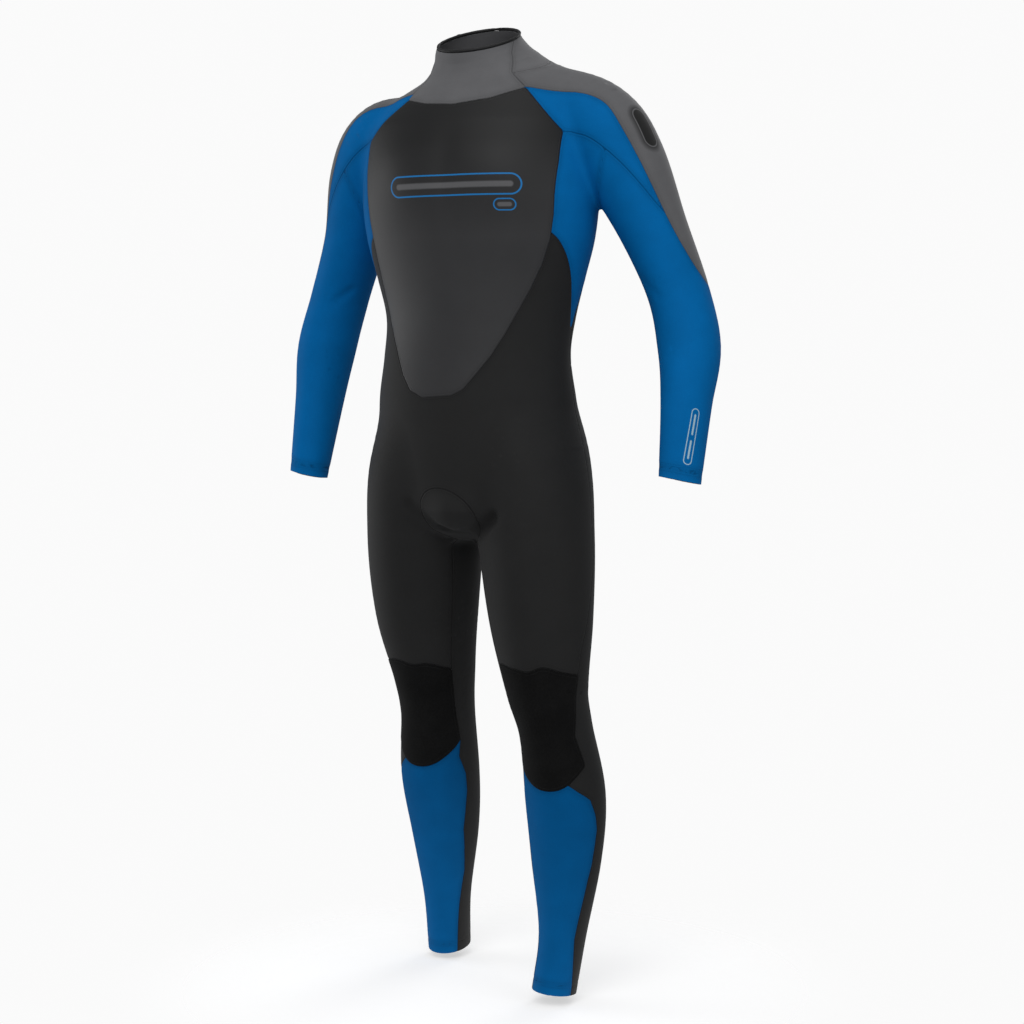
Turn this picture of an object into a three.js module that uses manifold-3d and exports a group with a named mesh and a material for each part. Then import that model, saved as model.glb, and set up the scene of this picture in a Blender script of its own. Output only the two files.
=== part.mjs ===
// A full back-zip wetsuit, standing in the shape of the body it is cut for, as a set of sewn panels.
// Millimetres, +Z up, front towards -Y, the wearer's left towards +X.
// Heights in this file are measured from the ankle hems. The finished group is lowered so that the
// origin sits between the shoulders, where a body or a hanger holds the suit up.
import * as THREE from 'three';
import { mergeVertices } from 'three/addons/utils/BufferGeometryUtils.js';
import Module from 'manifold-3d';

const wasm = await Module();
wasm.setup();

// ---------- driving dimensions ----------
const hangHeight = 1385;        // ankle hem to the point between the shoulders that is the origin
const wall = 3;                 // neoprene thickness
const seamGap = 0.4;            // clearance between neighbouring panels
const far = 2000;               // reach of a cutting solid
const torsoSides = 24;          // facets round each tube, and rings along it
const torsoSteps = 18;
const armSides = 12;
const armSteps = 10;
const legSides = 14;
const legSteps = 11;

const zipRadius = 1500;         // the zip lies on this gentle arc down the back
const zipCrownHeight = 1180;    // height at which the back stands out furthest
const zipCrownDepth = 114;      // how far back the suit reaches there
const zipBottom = 950;
const zipTop = 1350;
const zipTapeWidth = 15;
const zipTapeThickness = 1.2;
const toothPitch = 9;           // one coarse tooth stands for three real ones
const toothReach = 4.5;
const toothThickness = 2.4;
const zipSlotHalfWidth = 16.6;
const zipInset = wall / 2;      // the tapes lie in the middle of the neoprene
const sliderWidth = 15;
const sliderLength = 22;
const sliderRest = 1336;        // height of the closed slider's middle
const pullWidth = 9;
const pullLength = 34;

const neckSeamHeight = 1358;    // seam between collar and shoulders, on the centre line of the neck
const neckSeamSlope = 0.12;     // it climbs towards the back
const collarLean = 0.45;        // the rim of the collar slopes down towards the throat
const collarTop = 1425;
const collarSplitWidth = 3;
const bindingRadius = 2.6;

const frontReach = 300;         // more than the depth of the suit from its middle
const sideSeamDepth = 10;       // the side seams lie just behind the middle of the torso
const armpitWidth = 160;        // the side panel takes in everything wider than this
const seatTop = zipBottom - 14;

const kneeTop = 488;
const kneeBottom = 334;
const ankleHemHeight = 30;
const thighSetBack = 4;         // seams down the legs, behind each leg's own centre line
const padSetBack = 8;
const shinSetBack = 12;

// Cross-sections: [x, y, height, half width, half depth] of the outside of the suit.
const torsoSections = [
  [0, 8, 668, 52, 50],
  [0, 9, 684, 108, 84],
  [0, 9, 720, 143, 102],
  [0, 9, 770, 156, 112],
  [0, 9, 820, 159, 115],
  [0, 3, 885, 156, 108],
  [0, -2, 950, 147, 99],
  [0, 2, 1005, 149, 102],
  [0, 3, 1060, 163, 106],
  [0, 1, 1120, 180, 111],
  [0, -1, 1180, 187, 115],
  [0, -1, 1240, 182, 113],
  [0, 5, 1290, 174, 105],
  [0, 13, 1330, 157, 93],
  [0, 16, 1360, 122, 84],
  [0, 12, 1386, 87, 69],
  [0, 6, 1404, 71, 63],
  [0, 0, collarTop, 61, 60],
];
const leftArmSections = [
  [112, 15, 1312, 42, 48],
  [168, 15, 1284, 54, 57],
  [218, 19, 1220, 56, 60],
  [266, 25, 1130, 47, 54],
  [304, 30, 1040, 44, 50],
  [327, 15, 960, 45, 49],
  [336, -20, 880, 36, 42],
  [342, -60, 778, 29, 32],
];
const rightArmSections = [
  [-112, 15, 1310, 42, 48],
  [-165, 18, 1282, 53, 57],
  [-207, 38, 1220, 54, 60],
  [-240, 60, 1130, 46, 54],
  [-275, 74, 1040, 43, 50],
  [-291, 62, 960, 45, 49],
  [-293, 40, 880, 36, 42],
  [-288, -6, 776, 28, 32],
];
const leftLegSections = [
  [62, 4, 905, 50, 62],
  [84, 3, 800, 81, 97],
  [97, -8, 680, 85, 92],
  [108, -15, 560, 77, 78],
  [120, -20, 460, 61, 64],
  [131, -20, 400, 56, 60],
  [142, -5, 300, 59, 62],
  [142, 0, 200, 52, 52],
  [138, -4, 90, 35, 40],
  [128, -12, 5, 32, 41],
];
const rightLegSections = [
  [-62, 4, 905, 50, 62],
  [-89, 8, 800, 83, 97],
  [-102, 20, 680, 88, 92],
  [-110, 40, 560, 80, 78],
  [-107, 60, 460, 63, 64],
  [-109, 75, 400, 57, 60],
  [-121, 105, 300, 61, 62],
  [-125, 130, 200, 53, 52],
  [-131, 150, 90, 37, 40],
  [-135, 165, 5, 32, 41],
];

const look = (color, roughness, metalness = 0) => (
  new THREE.MeshStandardMaterial({ color, roughness, metalness })
);
const blackJersey = look(0x232325, 0.9);
const blueJersey = look(0x00558e, 0.85);
const greyJersey = look(0x545456, 0.88);
const smoothSkin = look(0x303031, 0.45);
const kneeFabric = look(0x161617, 0.95);
const bindingRubber = look(0x1b1b1c, 0.6);
const zipPlastic = look(0x141415, 0.4);
const zipMetal = look(0x3a3b3d, 0.35, 0.6);

// ---------- solids ----------
function solidOf(geometry) {
  const bare = geometry.index ? geometry.toNonIndexed() : geometry.clone();
  bare.deleteAttribute('normal');
  bare.deleteAttribute('uv');
  const merged = mergeVertices(bare, 1e-4);
  return new wasm.Manifold(new wasm.Mesh({
    numProp: 3,
    vertProperties: new Float32Array(merged.attributes.position.array),
    triVerts: new Uint32Array(merged.index.array),
  }));
}

function geometryOf(solid) {
  const mesh = solid.getMesh();
  const geometry = new THREE.BufferGeometry();
  geometry.setAttribute('position', new THREE.BufferAttribute(mesh.vertProperties, 3));
  geometry.setIndex(new THREE.BufferAttribute(mesh.triVerts, 1));
  geometry.computeVertexNormals();
  return geometry;
}

const join = (solids) => solids.reduce((whole, next) => whole.add(next));

const pointsOf = (sections) => sections.map(([x, y, z]) => new THREE.Vector3(x, y, z));

const curveOf = (points) => new THREE.CatmullRomCurve3(points, false, 'catmullrom', 0.5);

// The cross-section of a limb at t from 0 to 1: its centre, its axes and its half width and depth.
// The torso's sections are level; a limb's are square to its own line.
function sectionAt(sections, t) {
  const centre = curveOf(pointsOf(sections));
  const size = curveOf(sections.map(([, , , a, b]) => new THREE.Vector3(a, b, 0)));
  const along = sections === torsoSections ? new THREE.Vector3(0, 0, 1) : centre.getTangent(t);
  const across = new THREE.Vector3(0, 1, 0).cross(along).normalize();
  const deep = along.clone().cross(across);
  return { centre: centre.getPoint(t), along, across, deep, size: size.getPoint(t) };
}

// A closed tube of oval sections. A positive inset makes it thinner all round; startPast and
// endPast push its two ends out along its own line.
function loft(sections, sides, steps, inset = 0, startPast = 0, endPast = 0) {
  const geometry = new THREE.CylinderGeometry(1, 1, 1, sides, steps);
  const position = geometry.attributes.position;
  for (let i = 0; i < position.count; i += 1) {
    const t = THREE.MathUtils.clamp(0.5 - position.getY(i), 0, 1);
    const { centre, along, across, deep, size } = sectionAt(sections, t);
    let push = 0;
    if (t < 1e-6) push = -startPast;
    if (t > 1 - 1e-6) push = endPast;
    const point = centre
      .addScaledVector(along, push)
      .addScaledVector(across, position.getX(i) * (size.x - inset))
      .addScaledVector(deep, position.getZ(i) * (size.y - inset));
    position.setXYZ(i, point.x, point.y, point.z);
  }
  return geometry;
}

// Above the shoulders the torso leans with the collar's rim.
function torso(inset, topPast) {
  const geometry = loft(torsoSections, torsoSides, torsoSteps, inset, -inset, topPast);
  const position = geometry.attributes.position;
  for (let i = 0; i < position.count; i += 1) {
    const lean = collarLean * THREE.MathUtils.smoothstep(position.getZ(i), 1340, collarTop);
    position.setZ(i, position.getZ(i) + lean * position.getY(i));
  }
  return solidOf(geometry);
}

const arm = (sections, inset, past) => solidOf(loft(sections, armSides, armSteps, inset, 0, past));
const leg = (sections, inset, past) => solidOf(loft(sections, legSides, legSteps, inset, 0, past));

// Everything on the far side of a plane.
function beyond(point, normal) {
  const block = new THREE.BoxGeometry(2 * far, 2 * far, 2 * far);
  block.translate(0, 0, far);
  const turn = new THREE.Quaternion().setFromUnitVectors(
    new THREE.Vector3(0, 0, 1),
    normal.clone().normalize(),
  );
  block.applyQuaternion(turn);
  block.translate(point.x, point.y, point.z);
  return solidOf(block);
}

const vec = (x, y, z) => new THREE.Vector3(x, y, z);
const left = beyond(vec(0, 0, 0), vec(1, 0, 0));

// Cuts a solid in two along a plane, leaving the seam gap: [the part beyond it, the rest].
function partAt(solid, point, normal) {
  const step = normal.clone().normalize().multiplyScalar(seamGap / 2);
  const beyondIt = beyond(point.clone().add(step), normal);
  const fromIt = beyond(point.clone().sub(step), normal);
  return [solid.intersect(beyondIt), solid.subtract(fromIt)];
}

// A closed outline moved outwards by a distance.
function grown(points, distance) {
  const count = points.length;
  const turn = Math.sign(THREE.ShapeUtils.area(points));
  return points.map((p, i) => {
    const run = points[(i + 1) % count].clone().sub(points[(i + count - 1) % count]).normalize();
    return new THREE.Vector2(p.x + turn * run.y * distance, p.y - turn * run.x * distance);
  });
}

// An outline drawn on the front (x, height), pushed forwards from a depth. slope makes the
// pushed sides sink towards the back.
function frontPrism(points, from, depth, slope = 0) {
  const geometry = new THREE.ExtrudeGeometry(new THREE.Shape(points), {
    depth,
    bevelEnabled: false,
  });
  geometry.applyMatrix4(new THREE.Matrix4().makeBasis(vec(1, 0, 0), vec(0, 0, 1), vec(0, -1, slope)));
  geometry.translate(0, from, -slope * from);
  return solidOf(geometry);
}

// An outline drawn on the side (y, height), pushed right across the suit.
function sidePrism(points) {
  const geometry = new THREE.ExtrudeGeometry(new THREE.Shape(points), {
    depth: 2 * far,
    bevelEnabled: false,
  });
  geometry.applyMatrix4(new THREE.Matrix4().makeBasis(vec(0, 1, 0), vec(0, 0, 1), vec(1, 0, 0)));
  geometry.translate(-far, 0, 0);
  return solidOf(geometry);
}

// Cuts a panel out of a solid: [the panel, the rest], a seam gap apart. cutter(grow) gives the
// panel's outline pushed through the suit, made larger all round by grow.
function panelOf(solid, cutter) {
  return [solid.intersect(cutter(0)), solid.subtract(cutter(seamGap))];
}

const outline = (pairs) => pairs.map(([u, v]) => new THREE.Vector2(u, v));
const mirrored = (pairs) => pairs.map(([u, v]) => [-u, v]);

// ---------- the pieces ----------
const suit = new THREE.Group();
suit.position.z = -hangHeight;

function add(name, shape, material, home = suit) {
  const mesh = new THREE.Mesh(shape.isBufferGeometry ? shape : geometryOf(shape), material);
  mesh.name = name;
  home.add(mesh);
  return mesh;
}

const outside = join([
  torso(0, 0),
  arm(leftArmSections, 0, 0),
  arm(rightArmSections, 0, 0),
  leg(leftLegSections, 0, 0),
  leg(rightLegSections, 0, 0),
]);
const inside = join([
  torso(wall, 12),
  arm(leftArmSections, wall, 12),
  arm(rightArmSections, wall, 12),
  leg(leftLegSections, wall, 12),
  leg(rightLegSections, wall, 12),
]);
let body = outside.subtract(inside);

// The grey shoulders run out along the top of each arm to a point behind the elbow. The heights
// are those of the edge at greyEdgeDepth; it sits lower at the back.
const greyEdge = [
  [0, 1270],
  [84, 1300],
  [112, 1322],
  [150, 1322],
  [188, 1318],
  [217, 1300],
  [240, 1262],
  [268, 1212],
  [302, 1144],
  [326, 1104],
  [350, 1070],
];
const greySlope = 0.4;
const greyEdgeDepth = -50;
const rightArmReach = 0.93;     // the right arm hangs closer to the body than the left

function greyCutter(side) {
  const reach = side > 0 ? 1 : rightArmReach;
  const points = outline([
    ...greyEdge.map(([x, z]) => [side * reach * x, z + greySlope * greyEdgeDepth]),
    [side * 600, 1050],
    [side * 600, 1700],
    [0, 1700],
  ]);
  return (grow) => frontPrism(grow ? grown(points, grow) : points, 300, 600, greySlope);
}

// ---------- arms ----------
const armholePoint = 185;       // distance of the armhole seam from the centre line
const shoulderEnd = 0.405;      // positions along the arm, from the shoulder to the wrist
const elbowStart = 0.5;
const elbowEnd = 0.657;
const cuffStart = 0.965;

function makeArm(side, letter, sections) {
  const cutAt = (solid, t) => {
    const { centre, along } = sectionAt(sections, t);
    return partAt(solid, centre, along);
  };
  const [whole, rest] = partAt(body, vec(side * armholePoint, 0, 1240), vec(side, 0, 0.065));
  const armOnly = whole;
  body = rest;
  const [belowShoulder, cap] = cutAt(armOnly, shoulderEnd);
  const [belowUpper, upper] = cutAt(belowShoulder, elbowStart);
  const [belowElbow, elbow] = cutAt(belowUpper, elbowEnd);
  const [cuff, forearm] = cutAt(belowElbow, cuffStart);
  const [capGrey, capBlue] = panelOf(cap, greyCutter(side));
  const [upperGrey, upperBlue] = panelOf(upper, greyCutter(side));
  add(`shoulder_cap_grey_${letter}`, capGrey, greyJersey);
  add(`shoulder_cap_blue_${letter}`, capBlue, blueJersey);
  add(`upper_sleeve_grey_${letter}`, upperGrey, greyJersey);
  add(`upper_sleeve_blue_${letter}`, upperBlue, blueJersey);
  add(`elbow_sleeve_${letter}`, elbow, blueJersey);
  add(`forearm_sleeve_${letter}`, forearm, blueJersey);
  add(`wrist_cuff_${letter}`, cuff, blueJersey);
}
makeArm(1, 'l', leftArmSections);
makeArm(-1, 'r', rightArmSections);

// ---------- legs ----------
const groinWidth = 45;          // where the hip seam crosses the groin, from the centre line
const groinHeight = 700;
const hipBand = 100;            // width of the band that bends at the hip

// Everything in front of a leg's own centre line.
function frontOfLeg(sections, setBack) {
  const line = sections.map(([, y, z]) => [y + setBack, z]);
  const points = outline([
    [-far, 1000],
    [line[0][0], 1000],
    ...line,
    [line[line.length - 1][0], -100],
    [-far, -100],
  ]);
  return (grow) => sidePrism(grow ? grown(points, grow) : points);
}

function makeLeg(side, letter, sections) {
  const halfSuit = beyond(vec(0, 0, 0), vec(side, 0, 0));
  const normal = vec(side, 0, -1).normalize();
  const groin = vec(side * groinWidth, 0, groinHeight);
  const bandEnd = groin.clone().addScaledVector(normal, hipBand);
  const up = vec(0, 0, 1);
  const [whole, rest] = panelOf(body, (grow) => (
    halfSuit.intersect(beyond(groin.clone().addScaledVector(normal, -grow), normal))
  ));
  body = rest;
  const [thigh, hip] = partAt(whole, bandEnd, normal);
  const [aboveKnee, belowThigh] = partAt(thigh, vec(0, 0, kneeTop), up);
  const [knee, belowKnee] = partAt(belowThigh, vec(0, 0, kneeBottom), up);
  const [shank, hem] = partAt(belowKnee, vec(0, 0, ankleHemHeight), up);
  const [thighFront, thighBack] = panelOf(aboveKnee, frontOfLeg(sections, thighSetBack));
  const [kneePad, kneeBack] = panelOf(knee, frontOfLeg(sections, padSetBack));
  const [shin, calf] = panelOf(shank, frontOfLeg(sections, shinSetBack));
  add(`hip_band_${letter}`, hip, blackJersey);
  add(`thigh_front_${letter}`, thighFront, blackJersey);
  add(`thigh_back_${letter}`, thighBack, blackJersey);
  add(`knee_pad_${letter}`, kneePad, kneeFabric);
  add(`knee_back_${letter}`, kneeBack, blackJersey);
  add(`shin_${letter}`, shin, blueJersey);
  add(`calf_${letter}`, calf, blackJersey);
  add(`ankle_hem_${letter}`, hem, blackJersey);
}
makeLeg(1, 'l', leftLegSections);
makeLeg(-1, 'r', rightLegSections);

// ---------- collar ----------
const throat = [
  [-54, 1480],
  [-58, 1390],
  [-84, 1322],
  [0, 1309],
  [84, 1322],
  [58, 1390],
  [54, 1480],
];
const frontFace = (pairs, from) => (grow) => (
  frontPrism(grow ? grown(outline(pairs), grow) : outline(pairs), from, frontReach)
);
const [collarFront, afterThroat] = panelOf(body, frontFace(throat, -2));
const [collarBack, shoulders] = partAt(
  afterThroat,
  vec(0, 0, neckSeamHeight),
  vec(0, -neckSeamSlope, 1),
);
const collarSplit = [
  [-collarSplitWidth / 2, 1300],
  [collarSplitWidth / 2, 1300],
  [collarSplitWidth / 2, 1600],
  [-collarSplitWidth / 2, 1600],
];
const collarHalves = collarBack.subtract(frontFace(collarSplit, frontReach)(0));
add('collar_front', collarFront, greyJersey);
add('collar_back_l', collarHalves.intersect(left), greyJersey);
add('collar_back_r', collarHalves.subtract(left), greyJersey);

// ---------- torso panels ----------
const slot = [
  [-zipSlotHalfWidth, zipBottom - 8],
  [zipSlotHalfWidth, zipBottom - 8],
  [zipSlotHalfWidth, zipTop + 6],
  [-zipSlotHalfWidth, zipTop + 6],
];
const slotted = shoulders.subtract(frontFace(slot, frontReach)(0));

const chestSide = [
  [92, 1322],
  [124, 1290],
  [143, 1262],
  [145, 1190],
  [138, 1115],
  [123, 1042],
  [91, 962],
  [44, 905],
];
const chest = [...chestSide, [0, 889], ...mirrored(chestSide).reverse(), [0, 1309]];
const [chestPanel, afterChest] = panelOf(slotted, frontFace(chest, -2));
add('chest_panel', chestPanel, smoothSkin);

const [yokeLeft, afterLeftYoke] = panelOf(afterChest, greyCutter(1));
const [yokeRight, afterYokes] = panelOf(afterLeftYoke, greyCutter(-1));
add('shoulder_yoke_l', yokeLeft, greyJersey);
add('shoulder_yoke_r', yokeRight, greyJersey);

// The blue side panel comes to a point at the waist and takes in the whole armpit.
const sideLine = outline([
  [-far, 1134],
  [-78, 1134],
  [-54, 1112],
  [-27, 1070],
  [5, 990],
  [38, 1060],
  [66, 1110],
  [90, 1170],
  [94, 1400],
  [-far, 1400],
]);
const armpit = (side) => outline([
  [side * armpitWidth, 1112],
  [side * 400, 1112],
  [side * 400, 1400],
  [side * armpitWidth, 1400],
]);
const sideCutter = (grow) => join([
  sidePrism(grow ? grown(sideLine, grow) : sideLine),
  ...[1, -1].map((side) => {
    const points = grow ? grown(armpit(side), grow) : armpit(side);
    return frontPrism(points, frontReach, 2 * frontReach);
  }),
]);
const [sidePanels, afterSides] = panelOf(afterYokes, sideCutter);
add('side_panel_l', sidePanels.intersect(left), blueJersey);
add('side_panel_r', sidePanels.subtract(left), blueJersey);

const gussetOval = new THREE.EllipseCurve(0, 708, 43, 45, 0, 2 * Math.PI).getPoints(20).slice(0, 20);
const gussetCutter = (grow) => (
  frontPrism(grow ? grown(gussetOval, grow) : gussetOval, sideSeamDepth + 6, frontReach)
);
const [gusset, afterGusset] = panelOf(afterSides, gussetCutter);
add('crotch_gusset', gusset, blackJersey);

const [backHalf, frontBody] = partAt(afterGusset, vec(0, sideSeamDepth, 0), vec(0, 1, 0));
const [backPanels, seat] = partAt(backHalf, vec(0, 0, seatTop), vec(0, 0, 1));
add('front_body', frontBody, blackJersey);
add('back_panel_l', backPanels.intersect(left), blackJersey);
add('back_panel_r', backPanels.subtract(left), blackJersey);
add('seat_panel', seat, blackJersey);

// ---------- collar binding, closing tab and its two patches ----------
// The rim of the collar follows the torso's last section, leaning towards the throat.
function rimPoint(angle, lift) {
  const [, , , a, b] = torsoSections[torsoSections.length - 1];
  const y = (b - wall / 2) * Math.sin(angle);
  return vec((a - wall / 2) * Math.cos(angle), y, collarTop + lift + collarLean * y);
}
const rimGap = 0.06;            // the binding stops short of the split at the back, in radians
const rimPath = new THREE.CatmullRomCurve3(Array.from({ length: 25 }, (unused, i) => (
  rimPoint(Math.PI / 2 + rimGap + (2 * Math.PI - 2 * rimGap) * (i / 24), bindingRadius + seamGap)
)));
const bindingSection = new THREE.Shape(
  new THREE.EllipseCurve(0, 0, bindingRadius, bindingRadius).getPoints(8).slice(0, 8),
);
add('collar_binding', solidOf(new THREE.ExtrudeGeometry(bindingSection, {
  steps: 26,
  extrudePath: rimPath,
  bevelEnabled: false,
})), bindingRubber);

// A layer lying over the collar, between two distances out from it, within a front view outline.
function collarLayer(inner, outer, pairs) {
  const layer = torso(-outer, 0).subtract(torso(-inner, 20));
  return layer.intersect(frontPrism(outline(pairs), frontReach, frontReach));
}
const rectangle = (x0, x1, z0, z1) => [[x0, z0], [x1, z0], [x1, z1], [x0, z1]];
add('collar_loop_patch', collarLayer(0.4, 1.4, rectangle(-50, -14, 1400, 1424)), bindingRubber);
add('collar_hook_patch', collarLayer(1.8, 2.6, rectangle(-48, -16, 1402, 1422)), bindingRubber);
add('collar_tab', collarLayer(3, 5.5, [
  [-57, 1401],
  [-50, 1394],
  [28, 1394],
  [28, 1432],
  [-50, 1432],
  [-57, 1425],
]), blackJersey);

// ---------- back zip ----------
// Zip pieces are drawn round the centre of the zip's arc: x across, y out of the back, z up.
const zip = new THREE.Group();
zip.position.set(0, zipCrownDepth - zipRadius, zipCrownHeight);
suit.add(zip);

const zipAngle = (height) => Math.asin((height - zipCrownHeight) / zipRadius);

// A strip that follows the arc between two radii, from one height to another.
function arcStrip(inner, outer, x0, x1, low, high) {
  const shape = new THREE.Shape();
  shape.absarc(0, 0, outer, zipAngle(low), zipAngle(high), false);
  shape.absarc(0, 0, inner, zipAngle(high), zipAngle(low), true);
  const geometry = new THREE.ExtrudeGeometry(shape, {
    depth: x1 - x0,
    bevelEnabled: false,
    curveSegments: 8,
  });
  geometry.applyMatrix4(new THREE.Matrix4().makeBasis(vec(0, 1, 0), vec(0, 0, 1), vec(1, 0, 0)));
  geometry.translate(x0, 0, 0);
  return solidOf(geometry);
}

// One side of the zip's teeth: a spine along the arc with a tooth at every pitch.
const toothBase = zipRadius - zipInset + zipTapeThickness / 2 + 0.3;
const toothTop = toothBase + toothThickness;
const block = (x, y, z) => new THREE.BoxGeometry(x, y, z);

function toothRow(side, phase) {
  const spine = [side * (toothReach - 1.8), side * (toothReach + 1)].sort((u, v) => u - v);
  const low = zipBottom + 3;
  const high = zipTop - 3;
  const teeth = [];
  for (let height = low + phase * toothPitch; height < high - 2; height += toothPitch) {
    const tooth = block(4.6, toothThickness - 0.2, toothPitch * 0.4);
    tooth.translate(side * 0.9, toothBase + toothThickness / 2, 0);
    tooth.rotateX(zipAngle(height));
    teeth.push(solidOf(tooth));
  }
  return join([arcStrip(toothBase, toothTop, spine[0], spine[1], low, high), ...teeth]);
}

const tapeMiddle = zipRadius - zipInset;
['l', 'r'].forEach((letter, i) => {
  const side = i === 0 ? 1 : -1;
  const [x0, x1] = side > 0 ? [0.8, 0.8 + zipTapeWidth] : [-0.8 - zipTapeWidth, -0.8];
  const half = zipTapeThickness / 2;
  const tape = arcStrip(tapeMiddle - half, tapeMiddle + half, x0, x1, zipBottom - 4, zipTop + 3);
  add(`zip_tape_${letter}`, tape, blackJersey, zip);
  add(`zip_teeth_${letter}`, toothRow(side, side > 0 ? 0.5 : 1), zipPlastic, zip);
});
add('zip_backing_flap', arcStrip(
  zipRadius - 9,
  zipRadius - 6.5,
  -28,
  28,
  zipBottom - 2,
  zipTop - 8,
), blackJersey, zip);

add('zip_bottom_stop', solidOf(block(10, 2.4, 5).translate(0, toothTop - 0.8, 0)), zipMetal, zip);
const bottomStop = zip.children[zip.children.length - 1];
bottomStop.rotation.x = zipAngle(zipBottom - 1);

// The slider is a saddle over the teeth with a bail on its back; the pull hangs from the bail.
const slider = new THREE.Group();
slider.rotation.x = zipAngle(sliderRest);
zip.add(slider);
const plateBase = toothTop + 0.5;
const plateThickness = 2.2;
const flange = 2.4;
const saddle = outline([
  [-sliderWidth / 2, plateBase - flange],
  [-sliderWidth / 2, plateBase + plateThickness],
  [sliderWidth / 2, plateBase + plateThickness],
  [sliderWidth / 2, plateBase - flange],
  [sliderWidth / 2 - 1.5, plateBase - flange],
  [sliderWidth / 2 - 1.5, plateBase],
  [-sliderWidth / 2 + 1.5, plateBase],
  [-sliderWidth / 2 + 1.5, plateBase - flange],
]);
const saddleGeometry = new THREE.ExtrudeGeometry(new THREE.Shape(saddle), {
  depth: sliderLength,
  bevelEnabled: false,
}).translate(0, 0, -sliderLength / 2);
const bailHeight = 3;           // bar above the saddle's back
const bailAlong = 5;            // bar above the slider's middle
const barY = plateBase + plateThickness + bailHeight;
const bailPost = (side) => solidOf(block(1.6, bailHeight + 1.4, 2.4).translate(
  side * 4,
  barY - (bailHeight - 1.4) / 2 - 0.1,
  bailAlong,
));
const lying = (radius, length, sides) => (
  new THREE.CylinderGeometry(radius, radius, length, sides).rotateZ(Math.PI / 2)
);
add('zip_slider', join([
  solidOf(saddleGeometry),
  bailPost(1),
  bailPost(-1),
  solidOf(lying(0.9, 8.4, 10).translate(0, barY, bailAlong)),
]), zipMetal, slider);
const eye = solidOf(lying(2.1, 5.4, 12)).subtract(solidOf(lying(1.3, 8, 12)));
const grip = outline([
  [-pullWidth / 2, -5],
  [-pullWidth / 2, -pullLength + 2],
  [-pullWidth / 2 + 2, -pullLength],
  [pullWidth / 2 - 2, -pullLength],
  [pullWidth / 2, -pullLength + 2],
  [pullWidth / 2, -5],
  [2.4, -3.4],
  [2.4, -1.7],
  [-2.4, -1.7],
  [-2.4, -3.4],
]);
const gripThickness = 1.8;
const gripSolid = frontPrism(grip, gripThickness / 2, gripThickness);
add('zip_pull', solidOf(geometryOf(eye.add(gripSolid)).translate(0, barY, bailAlong)), zipMetal, slider);

export default suit;
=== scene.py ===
"""A full back-zip wetsuit on a pale floor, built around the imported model. Metres, +Z up."""
import math

import bpy
import numpy as np
from mathutils import Matrix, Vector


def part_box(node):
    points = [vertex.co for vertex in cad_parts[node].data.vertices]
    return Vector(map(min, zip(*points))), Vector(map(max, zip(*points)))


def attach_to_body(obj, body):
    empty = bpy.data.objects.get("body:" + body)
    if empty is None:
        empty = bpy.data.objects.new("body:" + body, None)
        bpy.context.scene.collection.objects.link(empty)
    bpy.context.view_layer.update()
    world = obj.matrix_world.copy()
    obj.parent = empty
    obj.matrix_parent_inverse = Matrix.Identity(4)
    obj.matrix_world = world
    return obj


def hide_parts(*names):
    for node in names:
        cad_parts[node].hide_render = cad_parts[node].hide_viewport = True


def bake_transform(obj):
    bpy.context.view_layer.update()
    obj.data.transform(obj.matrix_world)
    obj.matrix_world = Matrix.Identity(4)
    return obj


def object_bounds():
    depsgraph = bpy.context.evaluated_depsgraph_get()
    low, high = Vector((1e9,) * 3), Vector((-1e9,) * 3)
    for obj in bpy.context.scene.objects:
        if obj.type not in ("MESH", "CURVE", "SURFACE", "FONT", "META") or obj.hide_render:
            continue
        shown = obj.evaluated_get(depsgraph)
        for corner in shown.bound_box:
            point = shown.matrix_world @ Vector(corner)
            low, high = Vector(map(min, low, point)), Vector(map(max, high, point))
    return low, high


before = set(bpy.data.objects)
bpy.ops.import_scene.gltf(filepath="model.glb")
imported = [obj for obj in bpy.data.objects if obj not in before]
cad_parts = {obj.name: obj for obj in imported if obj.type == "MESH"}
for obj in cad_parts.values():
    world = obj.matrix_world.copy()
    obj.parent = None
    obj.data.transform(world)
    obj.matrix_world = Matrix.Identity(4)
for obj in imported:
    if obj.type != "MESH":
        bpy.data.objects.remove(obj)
cad_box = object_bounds()

# ---------- places taken from the frame ----------
HEM = round(float(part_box("ankle_hem_l")[0][2]), 3)  # height of the ankle hems
WALL = 0.003  # neoprene thickness
GRID = 0.0045  # size of the faces of the fine surface
SIDES = {"l": 1, "r": -1}


def vec(*values):
    return np.array(values, float)


def dots(a, b):
    return np.einsum("ij,ij->i", a, b)


def unit(vector):
    return vector / np.linalg.norm(vector)


def unit_rows(vectors):
    return vectors / np.linalg.norm(vectors, axis=1)[:, None]


def look_up(rows, key, value, columns):
    """Columns of a table, read where its key column has a value."""
    order = np.argsort(rows[:, key])
    return [np.interp(value, rows[order, key], rows[order, c]) for c in columns]


def add_object(name, data):
    thing = bpy.data.objects.new(name, data)
    bpy.context.scene.collection.objects.link(thing)
    return thing


def smoothstep(low, high, value):
    t = np.clip((value - low) / (high - low), 0, 1)
    return t * t * (3 - 2 * t)


# ---------- camera, floor and light ----------
AZIMUTH = math.radians(25)
ELEVATION = math.radians(3.6)
DISTANCE = 3.3
TARGET_RIGHT = 0.048
TARGET_HEIGHT = 0.715
FOCAL = 77.3  # mm on a 36 mm sensor


def view_axes(azimuth, elevation):
    back = vec(math.sin(azimuth) * math.cos(elevation), -math.cos(azimuth) * math.cos(elevation),
               math.sin(elevation))
    right = vec(math.cos(azimuth), math.sin(azimuth), 0)
    return right, np.cross(back, right), back


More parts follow.
